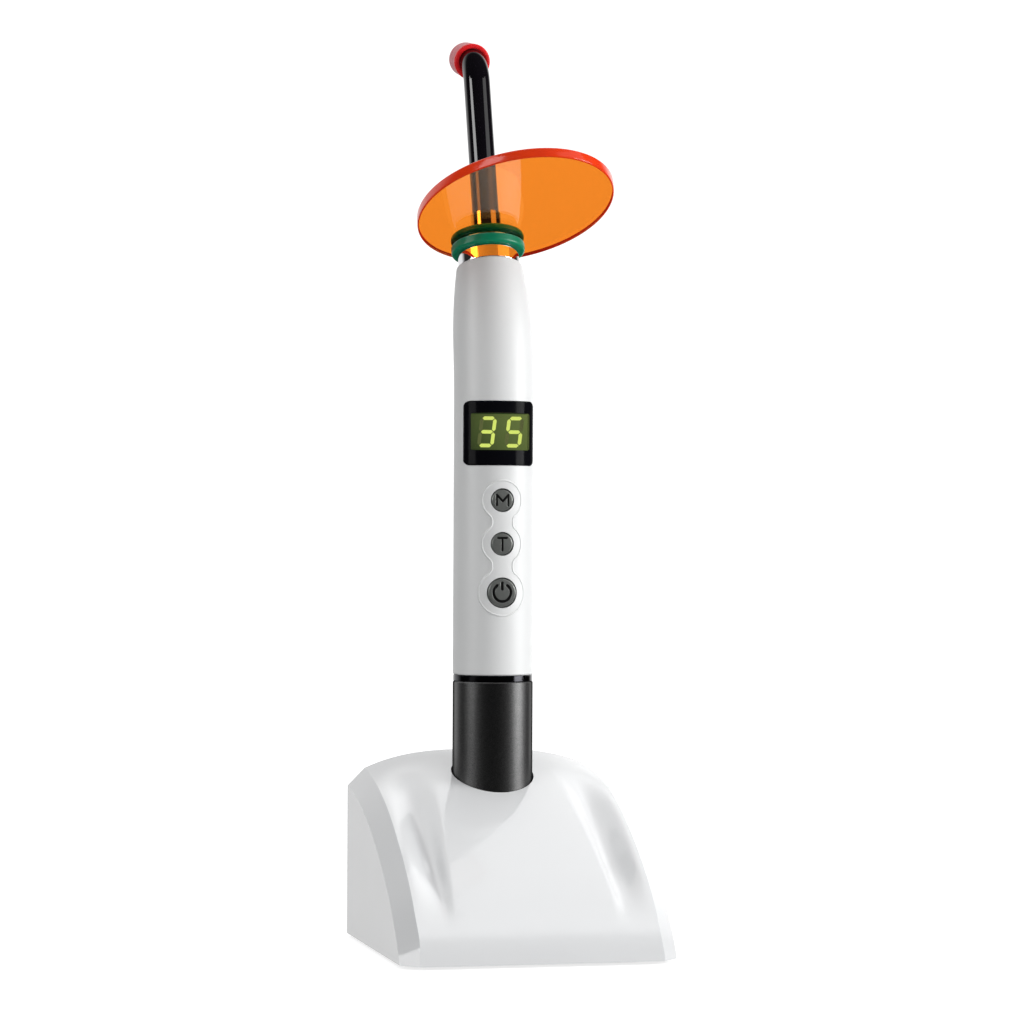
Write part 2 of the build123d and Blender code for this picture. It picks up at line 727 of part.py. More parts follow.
with BuildPart() as thread_insert:
    disc(CASING_BOTTOM_Z + 0.2, SLEEVE_IN_R - 0.05, 8.6, hole=NECK_R + 0.08)
keep(thread_insert.part, "thread_insert")

with BuildPart() as handle_contact_block:
    disc(93.0, HANDLE_R - CASING_WALL - 0.1, 2.5, hole=1.6)
keep(handle_contact_block.part, "handle_contact_block")

with BuildPart() as handle_contact:
    disc(91.4, 2.4, 1.5)
    fillet(handle_contact.faces().sort_by(Axis.Z)[0].edges(), radius=0.5)
    disc(92.9, 1.5, 3.6)
keep(handle_contact.part, "handle_contact")


def neck_disc(t, radius, height, hole=0.0):
    """Round plate or ring on the neck's axis, for use inside a part."""
    with Locations(neck_plane(t).location):
        Cylinder(radius, height, align=FROM_BELOW)
        if hole:
            Cylinder(hole, height, align=FROM_BELOW, mode=Mode.SUBTRACT)


with BuildPart() as head_socket:
    neck_disc(-14.0, SOCKET_R, 13.7, hole=SPIGOT_R + 0.06)
    neck_disc(-14.0, SOCKET_R, 1.2, hole=5.5)
keep(head_socket.part, "head_socket")

with BuildPart() as collimator_lens:
    neck_disc(-14.6, 7.0, 0.5)
    with BuildSketch(neck_plane(-14.6)):
        Circle(7.0)
    with BuildSketch(neck_plane(-19.6)):
        Circle(4.2)
    loft()
keep(collimator_lens.part, "collimator_lens")

with BuildPart() as led_board:
    neck_disc(-23.4, 7.5, 1.5)
    with BuildSketch(neck_plane(-24)):
        with PolarLocations(7.5, 6):
            Circle(1.2)
    extrude(amount=3, mode=Mode.SUBTRACT)
keep(led_board.part, "led_board")

with BuildPart() as led_emitter:
    with BuildSketch(neck_plane(-21.85)):
        Rectangle(4.6, 4.6)
    extrude(amount=0.7)
    neck_disc(-21.15, 1.9, 1.2)
    top_edge = led_emitter.edges().filter_by(GeomType.CIRCLE).sort_by(Axis.Z)[-1]
    fillet(top_edge, radius=1.0)
keep(led_emitter.part, "led_emitter")

with BuildPart() as heat_sink:
    neck_disc(-33.0, 7.4, 9.5, hole=1.5)
    with BuildSketch(neck_plane(-33.5)):
        with PolarLocations(5.2, 8):
            Rectangle(6.0, 1.3)
    extrude(amount=7.5, mode=Mode.SUBTRACT)
keep(heat_sink.part, "heat_sink")

# ---------------------------------------------------------------- light guide

BEND_CUT = TIP_BEND_R * sin(radians(TIP_TURN)) / (1 + cos(radians(TIP_TURN)))
TIP_DIR = Vector(0, sin(radians(NECK_LEAN + TIP_TURN)), cos(radians(NECK_LEAN + TIP_TURN)))
CORNER = RIM + NECK_DIR * TIP_CORNER
GUIDE_END = CAP_END - 1.8

with BuildPart() as guide_oring:
    with BuildSketch(Plane(origin=RIM, x_dir=(0, NECK_DIR.Z, -NECK_DIR.Y), z_dir=(1, 0, 0))):
        with Locations((6.08, -6.1)):
            Circle(0.43)
    revolve(axis=Axis(RIM, NECK_DIR))
keep(guide_oring.part, "guide_oring")

with BuildPart() as guide_ferrule:
    neck_disc(-SPIGOT_DEPTH, SPIGOT_R, SPIGOT_DEPTH + 0.1)
    neck_disc(0.1, COLLAR_R, COLLAR_TOP - 0.1)
    circles = guide_ferrule.edges().filter_by(GeomType.CIRCLE).group_by(SortBy.RADIUS)[-1]
    fillet(circles, radius=0.3)
    neck_disc(COLLAR_TOP, HUB_R, 8.6)
    neck_disc(COLLAR_TOP + 8.6, 4.7, 6.65)
    with BuildSketch(neck_plane(-7.0)):
        Circle(SPIGOT_R + 1)
        Circle(5.6, mode=Mode.SUBTRACT)
    extrude(amount=1.8, mode=Mode.SUBTRACT)
    with BuildSketch(neck_plane(-SPIGOT_DEPTH - 1)):
        Circle(GUIDE_R + 0.05)
    extrude(amount=40, mode=Mode.SUBTRACT)
keep(guide_ferrule.part, "guide_ferrule")

with BuildLine() as guide_path:
    FilletPolyline(
        tuple(RIM - NECK_DIR * (SPIGOT_DEPTH - 0.5)),
        tuple(CORNER),
        tuple(CORNER + TIP_DIR * GUIDE_END),
        radius=TIP_BEND_R,
    )
guide_start = neck_plane(-SPIGOT_DEPTH + 0.5)

with BuildPart() as guide_sheath:
    with BuildSketch(guide_start):
        Circle(GUIDE_R)
        Circle(CORE_R, mode=Mode.SUBTRACT)
    sweep(path=guide_path.wires()[0])
keep(guide_sheath.part, "guide_sheath")

with BuildPart() as fibre_core:
    with BuildSketch(guide_start):
        Circle(CORE_R)
    sweep(path=guide_path.wires()[0])
keep(fibre_core.part, "fibre_core")

GROMMET_BOTTOM = COLLAR_TOP + 0.05
GROOVE_BOTTOM = GROMMET_BOTTOM + LOWER_FLANGE_T
GROOVE_H = SHIELD_T + 0.1
GROOVE_R = 9.6

with BuildPart() as shield_grommet:
    neck_disc(GROMMET_BOTTOM, FLANGE_R, LOWER_FLANGE_T)
    neck_disc(GROOVE_BOTTOM, GROOVE_R, GROOVE_H)
    neck_disc(GROOVE_BOTTOM + GROOVE_H, FLANGE_R, UPPER_FLANGE_T)
    lips = shield_grommet.edges().filter_by(GeomType.CIRCLE).group_by(SortBy.RADIUS)[-1]
    fillet(lips, radius=0.7)
    with BuildSketch(neck_plane(0)):
        Circle(HUB_R + 0.05)
    extrude(amount=20, mode=Mode.SUBTRACT)
keep(shield_grommet.part, "shield_grommet")

SHIELD_X = SHIELD_OFFSET * sin(radians(SHIELD_TURN))
SHIELD_Y = -SHIELD_OFFSET * cos(radians(SHIELD_TURN))

with BuildPart() as light_shield:
    with BuildSketch(neck_plane(GROOVE_BOTTOM + 0.05)):
        with Locations((SHIELD_X, SHIELD_Y)):
            Ellipse(SHIELD_HALF_W, SHIELD_HALF_L, rotation=SHIELD_TURN)
        Circle(GROOVE_R + 0.3, mode=Mode.SUBTRACT)
    extrude(amount=SHIELD_T)
    outer_rims = light_shield.edges().filter_by(GeomType.ELLIPSE)
    fillet(outer_rims, radius=0.4)
keep(light_shield.part, "light_shield")

tip_plane = Plane(origin=CORNER, x_dir=(1, 0, 0), z_dir=TIP_DIR)
with BuildPart() as tip_cap:
    with BuildSketch(tip_plane.offset(CAP_MOUTH)):
        Circle(CAP_R)
    extrude(amount=CAP_END - CAP_MOUTH)
    fillet(tip_cap.faces().sort_by(Axis(CORNER, TIP_DIR))[-1].edges(), radius=1.6)
    with BuildSketch(tip_plane.offset(CAP_MOUTH)):
        Circle(CAP_R + 0.35)
    extrude(amount=1.8)
    bead = tip_cap.edges().filter_by(GeomType.CIRCLE).group_by(SortBy.RADIUS)[-1]
    fillet(bead, radius=0.3)
    with BuildSketch(tip_plane.offset(CAP_MOUTH)):
        Circle(GUIDE_R + 0.65)
    extrude(amount=3.1, mode=Mode.SUBTRACT)
    with BuildSketch(tip_plane.offset(CAP_MOUTH)):
        Circle(GUIDE_R + 0.06)
    extrude(amount=GUIDE_END - CAP_MOUTH + 0.2, mode=Mode.SUBTRACT)
keep(tip_cap.part, "tip_cap")
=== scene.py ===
import json
from math import acos, atan2, cos, degrees, pi, radians, sin, tan

import bpy
from mathutils import Matrix, Vector


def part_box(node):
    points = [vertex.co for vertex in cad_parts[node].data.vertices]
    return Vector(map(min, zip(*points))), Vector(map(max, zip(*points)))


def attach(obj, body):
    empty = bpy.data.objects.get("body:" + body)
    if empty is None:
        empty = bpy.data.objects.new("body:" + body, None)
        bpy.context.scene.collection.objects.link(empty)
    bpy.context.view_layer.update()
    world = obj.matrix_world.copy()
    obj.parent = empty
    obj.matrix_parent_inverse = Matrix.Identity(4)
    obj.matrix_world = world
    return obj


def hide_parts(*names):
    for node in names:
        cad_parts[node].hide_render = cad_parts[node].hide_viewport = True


# The looks of a dental curing light in its charging base. Metres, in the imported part's own frame:
# +Z up along the handle, the front with the display and the keys faces -Y.

MM = 0.001

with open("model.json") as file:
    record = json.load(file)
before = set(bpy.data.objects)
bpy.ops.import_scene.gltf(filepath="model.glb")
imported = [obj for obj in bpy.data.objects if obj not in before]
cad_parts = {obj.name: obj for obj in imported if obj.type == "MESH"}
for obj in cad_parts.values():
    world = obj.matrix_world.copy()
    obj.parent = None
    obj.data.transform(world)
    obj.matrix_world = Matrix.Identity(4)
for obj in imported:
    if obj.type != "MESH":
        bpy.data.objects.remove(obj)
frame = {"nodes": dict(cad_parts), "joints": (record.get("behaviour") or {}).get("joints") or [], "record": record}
nodes = frame["nodes"]
scene = bpy.context.scene
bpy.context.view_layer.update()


# ---------------------------------------------------------------- places taken from the frame

def joint(name):
    """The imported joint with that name."""
    return next(j for j in frame["joints"] if j["name"] == name)


def basis(origin, along, across):
    """Matrix at an origin, with Z along one direction and X across it towards another."""
    z = Vector(along).normalized()
    x = (Vector(across) - z * z.dot(Vector(across))).normalized()
    turn = Matrix((x, z.cross(x), z)).transposed().to_4x4()
    return Matrix.Translation(origin) @ turn


TO_RIGHT = Vector((1, 0, 0))
RIM = Vector(joint("guide_turn")["pos_m"])
NECK_DIR = Vector(joint("guide_turn")["axis"])
TIP_DIR = Vector(joint("cap_pull")["axis"])
TIP_CORNER = 70.55 * MM
CAP_MOUTH = 4.5 * MM
AXIS_Y = joint("thread_turn")["pos_m"][1]
HANDLE_R = 12.5 * MM
panel_low, panel_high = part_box("digit_display")
neck = basis(RIM, NECK_DIR, TO_RIGHT)
tip = basis(RIM + NECK_DIR * TIP_CORNER, TIP_DIR, TO_RIGHT)
handle = Matrix.Translation((0, AXIS_Y, 0))


# ---------------------------------------------------------------- materials: the shared parts

def feed(tree, socket, value):
    """Give a socket a plain value, or the value of another socket."""
    if isinstance(value, bpy.types.NodeSocket):
        tree.links.new(value, socket)
    else:
        socket.default_value = value


def reckon(tree, operation, first, second):
    """One sum on two values, with its result held between 0 and 1."""
    node = tree.nodes.new("ShaderNodeMath")
    node.operation = operation
    node.use_clamp = True
    feed(tree, node.inputs[0], first)
    feed(tree, node.inputs[1], second)
    return node.outputs[0]


def remap(tree, value, start, end, low=0.0, high=1.0, kind="LINEAR"):
    """Low to high as a value goes from start to end."""
    node = tree.nodes.new("ShaderNodeMapRange")
    node.interpolation_type = kind
    sockets = ("Value", "From Min", "From Max", "To Min", "To Max")
    for name, given in zip(sockets, (value, start, end, low, high)):
        feed(tree, node.inputs[name], given)
    return node.outputs["Result"]


def dot(tree, vector, direction):
    """How far a vector reaches along a direction."""
    node = tree.nodes.new("ShaderNodeVectorMath")
    node.operation = "DOT_PRODUCT"
    node.inputs[1].default_value = direction
    tree.links.new(vector, node.inputs[0])
    return node.outputs["Value"]


BLURRED_TINT = (0.95, 0.93, 0.92)


class Surface:
    """A Principled material built up from patterns in the object's own coordinates."""

    def __init__(self, name, colour, roughness, metallic=0.0):
        self.material = bpy.data.materials.new(name)
        self.material.use_nodes = True
        self.tree = self.material.node_tree
        self.shader = self.tree.nodes["Principled BSDF"]
        self.place = self.tree.nodes.new("ShaderNodeTexCoord").outputs["Object"]
        self.colour = (*colour, 1.0)
        self.roughness = roughness
        self.normal = None
        self.set("Base Color", self.colour)
        self.set("Roughness", roughness)
        self.set("Metallic", metallic)

    def set(self, socket, value):
        """Give a socket of the shader a plain value."""
        self.shader.inputs[socket].default_value = value
        return self

    def link(self, source, target):
        self.tree.links.new(source, target)

    def noise(self, size, detail=3.0, stretch=(1, 1, 1)):
        """Soft noise with features of about that size."""
        scaled = self.tree.nodes.new("ShaderNodeMapping")
        scaled.inputs["Scale"].default_value = stretch
        self.link(self.place, scaled.inputs["Vector"])
        pattern = self.tree.nodes.new("ShaderNodeTexNoise")
        pattern.inputs["Scale"].default_value = 1 / size
        pattern.inputs["Detail"].default_value = detail
        self.link(scaled.outputs[0], pattern.inputs["Vector"])
        return pattern.outputs[0]

    def cells(self, size, output="Distance"):
        """Cells about that size across, for flakes and pebbled grain."""
        pattern = self.tree.nodes.new("ShaderNodeTexVoronoi")
        pattern.inputs["Scale"].default_value = 1 / size
        self.link(self.place, pattern.inputs["Vector"])
        return pattern.outputs[output]

    def along(self, direction, start, end):
        """0 to 1 along a direction, from one distance to another."""
        return remap(self.tree, dot(self.tree, self.place, direction), start, end)

    def attribute(self, name):
        """A value that the mesh code wrote on each point."""
        reader = self.tree.nodes.new("ShaderNodeAttribute")
        reader.attribute_name = name
        return reader.outputs["Fac"]

    def spread(self, source, low, high, from_low=0.3, from_high=0.7):
        """Map a pattern onto a range of values."""
        return remap(self.tree, source, from_low, from_high, low, high)

    def mix(self, factor, first, second):
        """Blend two colours by a factor."""
        blend = self.tree.nodes.new("ShaderNodeMix")
        blend.data_type = "RGBA"
        self.link(factor, blend.inputs["Factor"])
        for value, target in ((first, blend.inputs[6]), (second, blend.inputs[7])):
            linked = isinstance(value, bpy.types.NodeSocket)
            feed(self.tree, target, value if linked else (*value[:3], 1.0))
        return blend.outputs[2]

    def drift(self, size, other, most=0.6):
        """Let the colour drift towards another one in patches of that size."""
        factor = self.spread(self.noise(size), 0.0, most)
        self.link(self.mix(factor, self.colour, other), self.shader.inputs["Base Color"])
        return self

    def wipe(self, size, least=0.85, most=1.25):
        """Let the roughness wander, as faint wipe marks do."""
        pattern = self.noise(size, 5.0)
        value = self.spread(pattern, self.roughness * least, self.roughness * most)
        self.link(value, self.shader.inputs["Roughness"])
        return self

    def bump(self, height, depth):
        """Raise the surface by a pattern of that depth; several bumps add up."""
        node = self.tree.nodes.new("ShaderNodeBump")
        node.inputs["Distance"].default_value = depth
        self.link(height, node.inputs["Height"])
        if self.normal is not None:
            self.link(self.normal, node.inputs["Normal"])
        self.normal = node.outputs["Normal"]
        self.link(self.normal, self.shader.inputs["Normal"])
        return self

    def open_to_lamps(self, tint):
        """Let lamps and soft light pass the glass in a tint, so that what is behind it is lit."""
        path = self.tree.nodes.new("ShaderNodeLightPath").outputs
        # Reflections blurred by a satin surface pass too; those in a mirror show the glass itself.
        blurred = reckon(self.tree, "SUBTRACT", path["Is Glossy Ray"], path["Is Singular Ray"])
        blurred = reckon(self.tree, "SUBTRACT", blurred, path["Is Transmission Ray"])
        passing = reckon(self.tree, "MAXIMUM", path["Is Shadow Ray"], blurred)
        passing = reckon(self.tree, "MAXIMUM", path["Is Diffuse Ray"], passing)
        clear = self.tree.nodes.new("ShaderNodeBsdfTransparent")
        self.link(self.mix(blurred, tint, BLURRED_TINT), clear.inputs["Color"])
        return self.give_way(passing, clear)

    def give_way(self, factor, other):
        """Let another shader take over by a factor."""
        choice = self.tree.nodes.new("ShaderNodeMixShader")
        self.link(factor, choice.inputs[0])
        self.link(self.shader.outputs[0], choice.inputs[1])
        self.link(other.outputs[0], choice.inputs[2])
        self.link(choice.outputs[0], self.tree.nodes["Material Output"].inputs["Surface"])
        return self


def moulded(name, colour, roughness, grain=0.3 * MM, depth=0.002 * MM, shade=0.93):
    """Moulded plastic: a slight drift of tone, fine grain and faint wipe marks in the gloss."""
    surface = Surface(name, colour, roughness)
    surface.drift(25 * MM, [c * shade for c in colour])
    surface.wipe(20 * MM, 0.94, 1.08)
    surface.bump(surface.noise(grain), depth)
    return surface


def metal(name, colour, roughness, lines=0.1 * MM, depth=0.002 * MM, stretch=(0.1, 0.1, 1)):
    """Worked metal: fine tool lines one way and a slight change of tone."""
    surface = Surface(name, colour, roughness, metallic=1.0)
    surface.drift(3 * MM, [c * 0.82 for c in colour])
    surface.wipe(1.5 * MM, 0.7, 1.4)
    surface.bump(surface.noise(lines, 2.0, stretch), depth)
    return surface


def rubber(name, colour, roughness, grain=0.15 * MM, depth=0.006 * MM):
    """Rubber: soft sheen, pebbled fine grain, a little dust in the tone."""
    surface = Surface(name, colour, roughness)
    surface.drift(4 * MM, [c * 0.85 + 0.008 for c in colour])
    surface.wipe(2 * MM)
    surface.bump(surface.cells(grain), depth)
    return surface


def glass(name, colour, roughness, ior, shadow):
    """Clear or tinted solid that lets lamps through, with very faint wipe marks."""
    surface = Surface(name, colour, roughness)
    surface.set("Transmission Weight", 1.0).set("IOR", ior)
    surface.wipe(8 * MM, 0.5, 2.0)
    surface.open_to_lamps(shadow)
    return surface


# ---------------------------------------------------------------- materials: one for each slot

def base_white():
    """High-gloss white plastic with a hard clear skin."""
    surface = moulded("base_white", (0.83, 0.84, 0.85), 0.30, 0.6 * MM, 0.0012 * MM, 0.985)
    surface.set("Specular IOR Level", 0.2)
    surface.set("Coat Weight", 0.9).set("Coat Roughness", 0.06)
    return surface


# How far the paint has turned away (0 to 1) where it starts to darken, and where it is dark.
DARK_FROM, DARK_AT = 0.62, 0.8


def sleeve_black():
    """Black metallic paint whose flakes catch the light one by one."""
    surface = Surface("sleeve_black", (0.0012, 0.0012, 0.0014), 0.35)
    flakes = surface.spread(surface.cells(0.13 * MM, "Color"), 0.45, 1.0, 0.2, 0.95)
    surface.link(flakes, surface.shader.inputs["Specular IOR Level"])
    surface.drift(1.5 * MM, (0.002, 0.002, 0.0022))
    surface.set("IOR", 1.75)
    surface.bump(surface.noise(0.12 * MM, 2.0), 0.005 * MM)
    # The paint goes dark where it turns away from view: partly the flop of the flat-lying flakes, partly painted
    # shade down the sleeve's sides.
    facing = surface.tree.nodes.new("ShaderNodeLayerWeight")
    away = surface.spread(facing.outputs["Facing"], 0.0, 0.95, DARK_FROM, DARK_AT)
    dark = surface.tree.nodes.new("ShaderNodeBsdfDiffuse")
    dark.inputs["Color"].default_value = (0.006, 0.006, 0.006, 1.0)
    return surface.give_way(away, dark)


def sparkling_grey():
    """Metallic grey plastic of the keys, with painted shade near black on the floors of the sunk legends."""
    surface = Surface("key_grey", (0.25, 0.26, 0.25), 0.34, 0.6)
    grain = surface.spread(surface.noise(0.8 * MM), 0.0, 0.6)
    cap = surface.mix(grain, surface.colour, (0.21, 0.22, 0.21))
    # Painted shade: the legends' groove floors turn near black, the deeper the spot the darker.
    colour = surface.mix(surface.attribute("sunk"), cap, (0.012, 0.012, 0.012))
    surface.link(colour, surface.shader.inputs["Base Color"])
    surface.wipe(0.5 * MM)
    surface.bump(surface.noise(0.1 * MM), 0.003 * MM)
    return surface


def shield_orange():
    """Clear orange acrylic: what is behind it shows through its colour."""
    return glass("shield_orange", (0.96, 0.26, 0.02), 0.012, 1.34, (0.62, 0.58, 0.56))


RED_UP_TO = 1.7 * MM
PINK_FROM = 3.4 * MM


def tip_red():
    """Translucent red silicone: deep red at the thick lip, milky pink on the thin wall above it, with a faint
    painted glow.
    """
    surface = Surface("tip_red", (0.72, 0.014, 0.018), 0.34)
    surface.set("Subsurface Weight", 0.3).set("Subsurface Radius", (0.003, 0.0008, 0.0006))
    mouth = TIP_DIR.dot(tip.translation) + CAP_MOUTH
    pink = surface.mix(surface.noise(3 * MM), (0.54, 0.085, 0.10), (0.50, 0.10, 0.12))
    wall = surface.along(TIP_DIR, mouth + RED_UP_TO, mouth + PINK_FROM)
    colour = surface.mix(wall, surface.colour, pink)
    surface.link(colour, surface.shader.inputs["Base Color"])
    # Painted light: the cap glows faintly in its own colour, though it gives no light.
    surface.link(colour, surface.shader.inputs["Emission Color"])
    surface.set("Emission Strength", 0.14).set("Specular IOR Level", 0.2)
    surface.wipe(1.5 * MM)
    surface.bump(surface.noise(0.6 * MM), 0.002 * MM)
    return surface


def grommet_green():
    """Smooth green silicone."""
    surface = Surface("grommet_green", (0.0015, 0.30, 0.150), 0.34)
    surface.set("Subsurface Weight", 0.25).set("Subsurface Radius", (0.0006, 0.002, 0.0012))
    surface.drift(3 * MM, (0.001, 0.25, 0.12))
    surface.wipe(1.5 * MM)
    surface.bump(surface.noise(0.3 * MM), 0.004 * MM)
    return surface


def board_green():
    """Solder mask with faint copper tracks beneath it."""
    surface = Surface("board_green", (0.01, 0.13, 0.05), 0.32)
    tracks = surface.spread(surface.noise(1.6 * MM, 0.0), 0.0, 1.0, 0.49, 0.51)
    colour = surface.mix(tracks, (0.008, 0.10, 0.04), (0.02, 0.18, 0.07))
    surface.link(colour, surface.shader.inputs["Base Color"])
    surface.bump(tracks, 0.02 * MM)
    return surface


def cell_wrap():
    """Blue heat-shrink film with slight creases."""
    surface = Surface("cell_wrap", (0.015, 0.10, 0.32), 0.2)
    surface.drift(6 * MM, (0.012, 0.085, 0.28))
    surface.bump(surface.noise(2.5 * MM, 2.0, (1, 1, 0.4)), 0.03 * MM)
    return surface


def ferrule_chrome():
    """Chrome with a mirror finish."""
    surface = Surface("ferrule_chrome", (0.86, 0.86, 0.88), 0.0, 1.0)
    surface.drift(3 * MM, (0.80, 0.80, 0.82))
    surface.bump(surface.noise(2 * MM, 1.0), 0.0004 * MM)
    return surface


def guide_black():
    """Polished black glass cladding."""
    surface = Surface("guide_black", (0.0035, 0.0025, 0.0045), 0.0)
    surface.drift(9 * MM, (0.005, 0.004, 0.006))
    surface.set("IOR", 1.68)
    surface.bump(surface.noise(14 * MM, 1.0), 0.01 * MM)
    return surface


def bezel_black():
    """Piano-black plastic."""
    surface = Surface("bezel_black", (0.0035, 0.0035, 0.005), 0.12)
    surface.set("Specular IOR Level", 0.03)
    surface.wipe(3 * MM, 0.6, 1.8)
    surface.bump(surface.noise(2.5 * MM, 1.0), 0.004 * MM)
    return surface


def window_green():
    """Thin green-tinted acrylic."""
    return glass("window_green", (0.88, 0.93, 0.74), 0.02, 1.30, (0.7, 0.8, 0.5))


def lit_panel(name, colour, glow, strength):
    """A surface of the display that gives off a light of its own."""
    surface = Surface(name, colour, 0.5)
    surface.set("Emission Color", (*glow, 1.0)).set("Emission Strength", strength)
    surface.wipe(1 * MM)
    surface.bump(surface.noise(0.3 * MM), 0.002 * MM)
    return surface


def display_green():
    """The display's face, with a glow of its own: dark at the lower left, lighter olive towards the upper right, a
    gradient of painted light.
    """
    surface = Surface("display_green", (0.02, 0.03, 0.01), 0.45)
    across = Vector((1, 0, 0.55)).normalized()
    factor = surface.along(across, across.dot(panel_low), across.dot(panel_high))
    # Painted light: the glow brightens towards the upper right.
    colour = surface.mix(factor, (0.030, 0.040, 0.018), (0.165, 0.205, 0.075))
    surface.link(colour, surface.shader.inputs["Emission Color"])
    surface.set("Emission Strength", 0.9)
    surface.wipe(2 * MM)
    return surface


LOOKS = {
    "base_white": base_white,
    "plate_grey": lambda: moulded("plate_grey", (0.56, 0.57, 0.59), 0.5, 0.35 * MM, 0.02 * MM),
    "pad_black": lambda: rubber("pad_black", (0.025, 0.025, 0.027), 0.75, 0.6 * MM, 0.04 * MM),
    "screw_steel": lambda: metal("screw_steel", (0.55, 0.55, 0.57), 0.3),
    "ballast_iron": lambda: metal(
        "ballast_iron", (0.16, 0.16, 0.17), 0.55, 0.5 * MM, 0.03 * MM, (1, 1, 1)),
    "board_green": board_green,
    "part_black": lambda: moulded("part_black", (0.02, 0.02, 0.02), 0.45, 0.2 * MM, 0.006 * MM),
    "jack_black": lambda: moulded("jack_black", (0.018, 0.018, 0.019), 0.4, 0.3 * MM, 0.006 * MM),
    "block_black": lambda: moulded("block_black", (0.022, 0.022, 0.024), 0.48, 0.3 * MM, 0.01 * MM),
    "contact_gold": lambda: metal("contact_gold", (0.83, 0.60, 0.24), 0.2),
    "spring_steel": lambda: metal("spring_steel", (0.5, 0.5, 0.52), 0.28),
    "sleeve_black": sleeve_black,
    "cap_black": lambda: moulded("cap_black", (0.02, 0.02, 0.022), 0.42, 0.3 * MM, 0.008 * MM),
    "carrier_grey": lambda: moulded("carrier_grey", (0.05, 0.05, 0.053), 0.42, 0.25 * MM, 0.008 * MM),
    "cell_wrap": cell_wrap,
    "ring_black": lambda: metal("ring_black", (0.045, 0.045, 0.05), 0.12, 0.1 * MM, 0.0006 * MM),
    # White plastic with a satin gloss.
    "handle_white": lambda: moulded(
        "handle_white", (0.82, 0.83, 0.83), 0.42, 0.4 * MM, 0.0012 * MM, 0.985),
    "bezel_black": bezel_black,
    "window_green": window_green,
    "display_green": display_green,
    "key_grey": sparkling_grey,
    "chassis_white": lambda: moulded("chassis_white", (0.6, 0.6, 0.6), 0.5),
    "insert_metal": lambda: metal("insert_metal", (0.72, 0.72, 0.74), 0.22),
    "lens_clear": lambda: glass("lens_clear", (0.97, 0.98, 1.0), 0.01, 1.5, (0.95, 0.97, 1.0)),
    "emitter_yellow": lambda: moulded("emitter_yellow", (0.75, 0.58, 0.08), 0.35),
    "oring_black": lambda: rubber("oring_black", (0.012, 0.012, 0.012), 0.4),
    "ferrule_chrome": ferrule_chrome,
    "guide_black": guide_black,
    "fibre_clear": lambda: glass("fibre_clear", (0.93, 0.97, 1.0), 0.05, 1.5, (0.9, 0.95, 1.0)),
    "grommet_green": grommet_green,
    "shield_orange": shield_orange,
    "tip_red": tip_red,
}
materials = {slot: make().material for slot, make in LOOKS.items()}
for subpart in frame["record"]["subparts"]:
    mesh = nodes[subpart["node"]].data
    mesh.materials.clear()
    mesh.materials.append(materials[subpart["material_slot"]])


# ---------------------------------------------------------------- mesh code shared by the pieces

def rounded(corners, steps=5):
    """Closed outline through corners (x, y, radius), each corner turned on an arc of its radius."""
    outline = []
    count = len(corners)
    # A point just past each end of an arc keeps the shading of the flat beside it flat.
    beside = 0.15
    for i, (x, y, radius) in enumerate(corners):
        spot = Vector((x, y))
        back = (Vector(corners[i - 1][:2]) - spot).normalized()
        onward = (Vector(corners[(i + 1) % count][:2]) - spot).normalized()
        if radius == 0:
            outline.append(spot)
            continue
        half = acos(max(-1.0, min(1.0, back.dot(onward)))) / 2
        centre = spot + (back + onward).normalized() * (radius / sin(half))
        first = spot + back * (radius / tan(half)) - centre
        last = spot + onward * (radius / tan(half)) - centre
        sweep = atan2(first.x * last.y - first.y * last.x, first.dot(last))
        outline.append(centre + first + back * radius * beside)
        for k in range(steps + 1):
            turn = Matrix.Rotation(sweep * k / steps, 2)
            outline.append(centre + turn @ first)
        outline.append(centre + last + onward * radius * beside)
    return outline


def finished(name, points, faces, place, sharp=35):
    """Mesh from points in a local frame, shaded smooth except across sharp edges."""
    mesh = bpy.data.meshes.new(name)
    mesh.from_pydata([place @ Vector(p) for p in points], [], faces)
    mesh.update()
    mesh.shade_smooth()
    mesh.set_sharp_from_angle(angle=radians(sharp))
    return mesh


def ring_faces(rings, count, closed):
    """Quads between rings of points, each ring with count points."""
    faces = []
    last = rings if closed else rings - 1
    for i in range(last):
        here, there = i * count, (i + 1) % rings * count
        for k in range(count):
            n = (k + 1) % count
            faces.append((here + k, here + n, there + n, there + k))
    return faces


def turned(outline, count, shape):
    """Points of an outline of (radius, height) turned about the local Z."""
    points = []
    for radius, height in outline:
        for k in range(count):
            angle = 2 * pi * k / count
            r = shape(radius, height, angle)
            points.append((r * cos(angle), r * sin(angle), height))
    return points


def plain(radius, height, angle):
    """The shape of a ring or knob that is round all over."""
    return radius


def ring(name, outline, place, count=96, shape=plain):
    """Ring-shaped solid from a closed outline, its outer side running upward."""
    points = turned(outline, count, shape)
    return finished(name, points, ring_faces(len(outline), count, True), place)


def knob(name, outline, place, count=96):
    """Solid without a bore: the outline runs from one point on the axis round to the other."""
    points = turned(outline[1:-1], count, plain)
    faces = ring_faces(len(outline) - 2, count, False)
    first, last = len(points), len(points) + 1
    end = len(points) - count
    points += [(0, 0, outline[0][1]), (0, 0, outline[-1][1])]
    for k in range(count):
        n = (k + 1) % count
        faces.append((first, n, k))
        faces.append((last, end + k, end + n))
    return finished(name, points, faces, place)


def add_piece(name, mesh, slot, body, *stood_for):
    """Put a new piece in the scene, on its body and in its material slot."""
    obj = bpy.data.objects.new(name, mesh)
    scene.collection.objects.link(obj)
    if not mesh.materials:
        mesh.materials.append(materials[slot])
    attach(obj, body)
    if stood_for:
        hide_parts(*stood_for)
    return obj


# ---------------------------------------------------------------- display: panel, lit and unlit bars

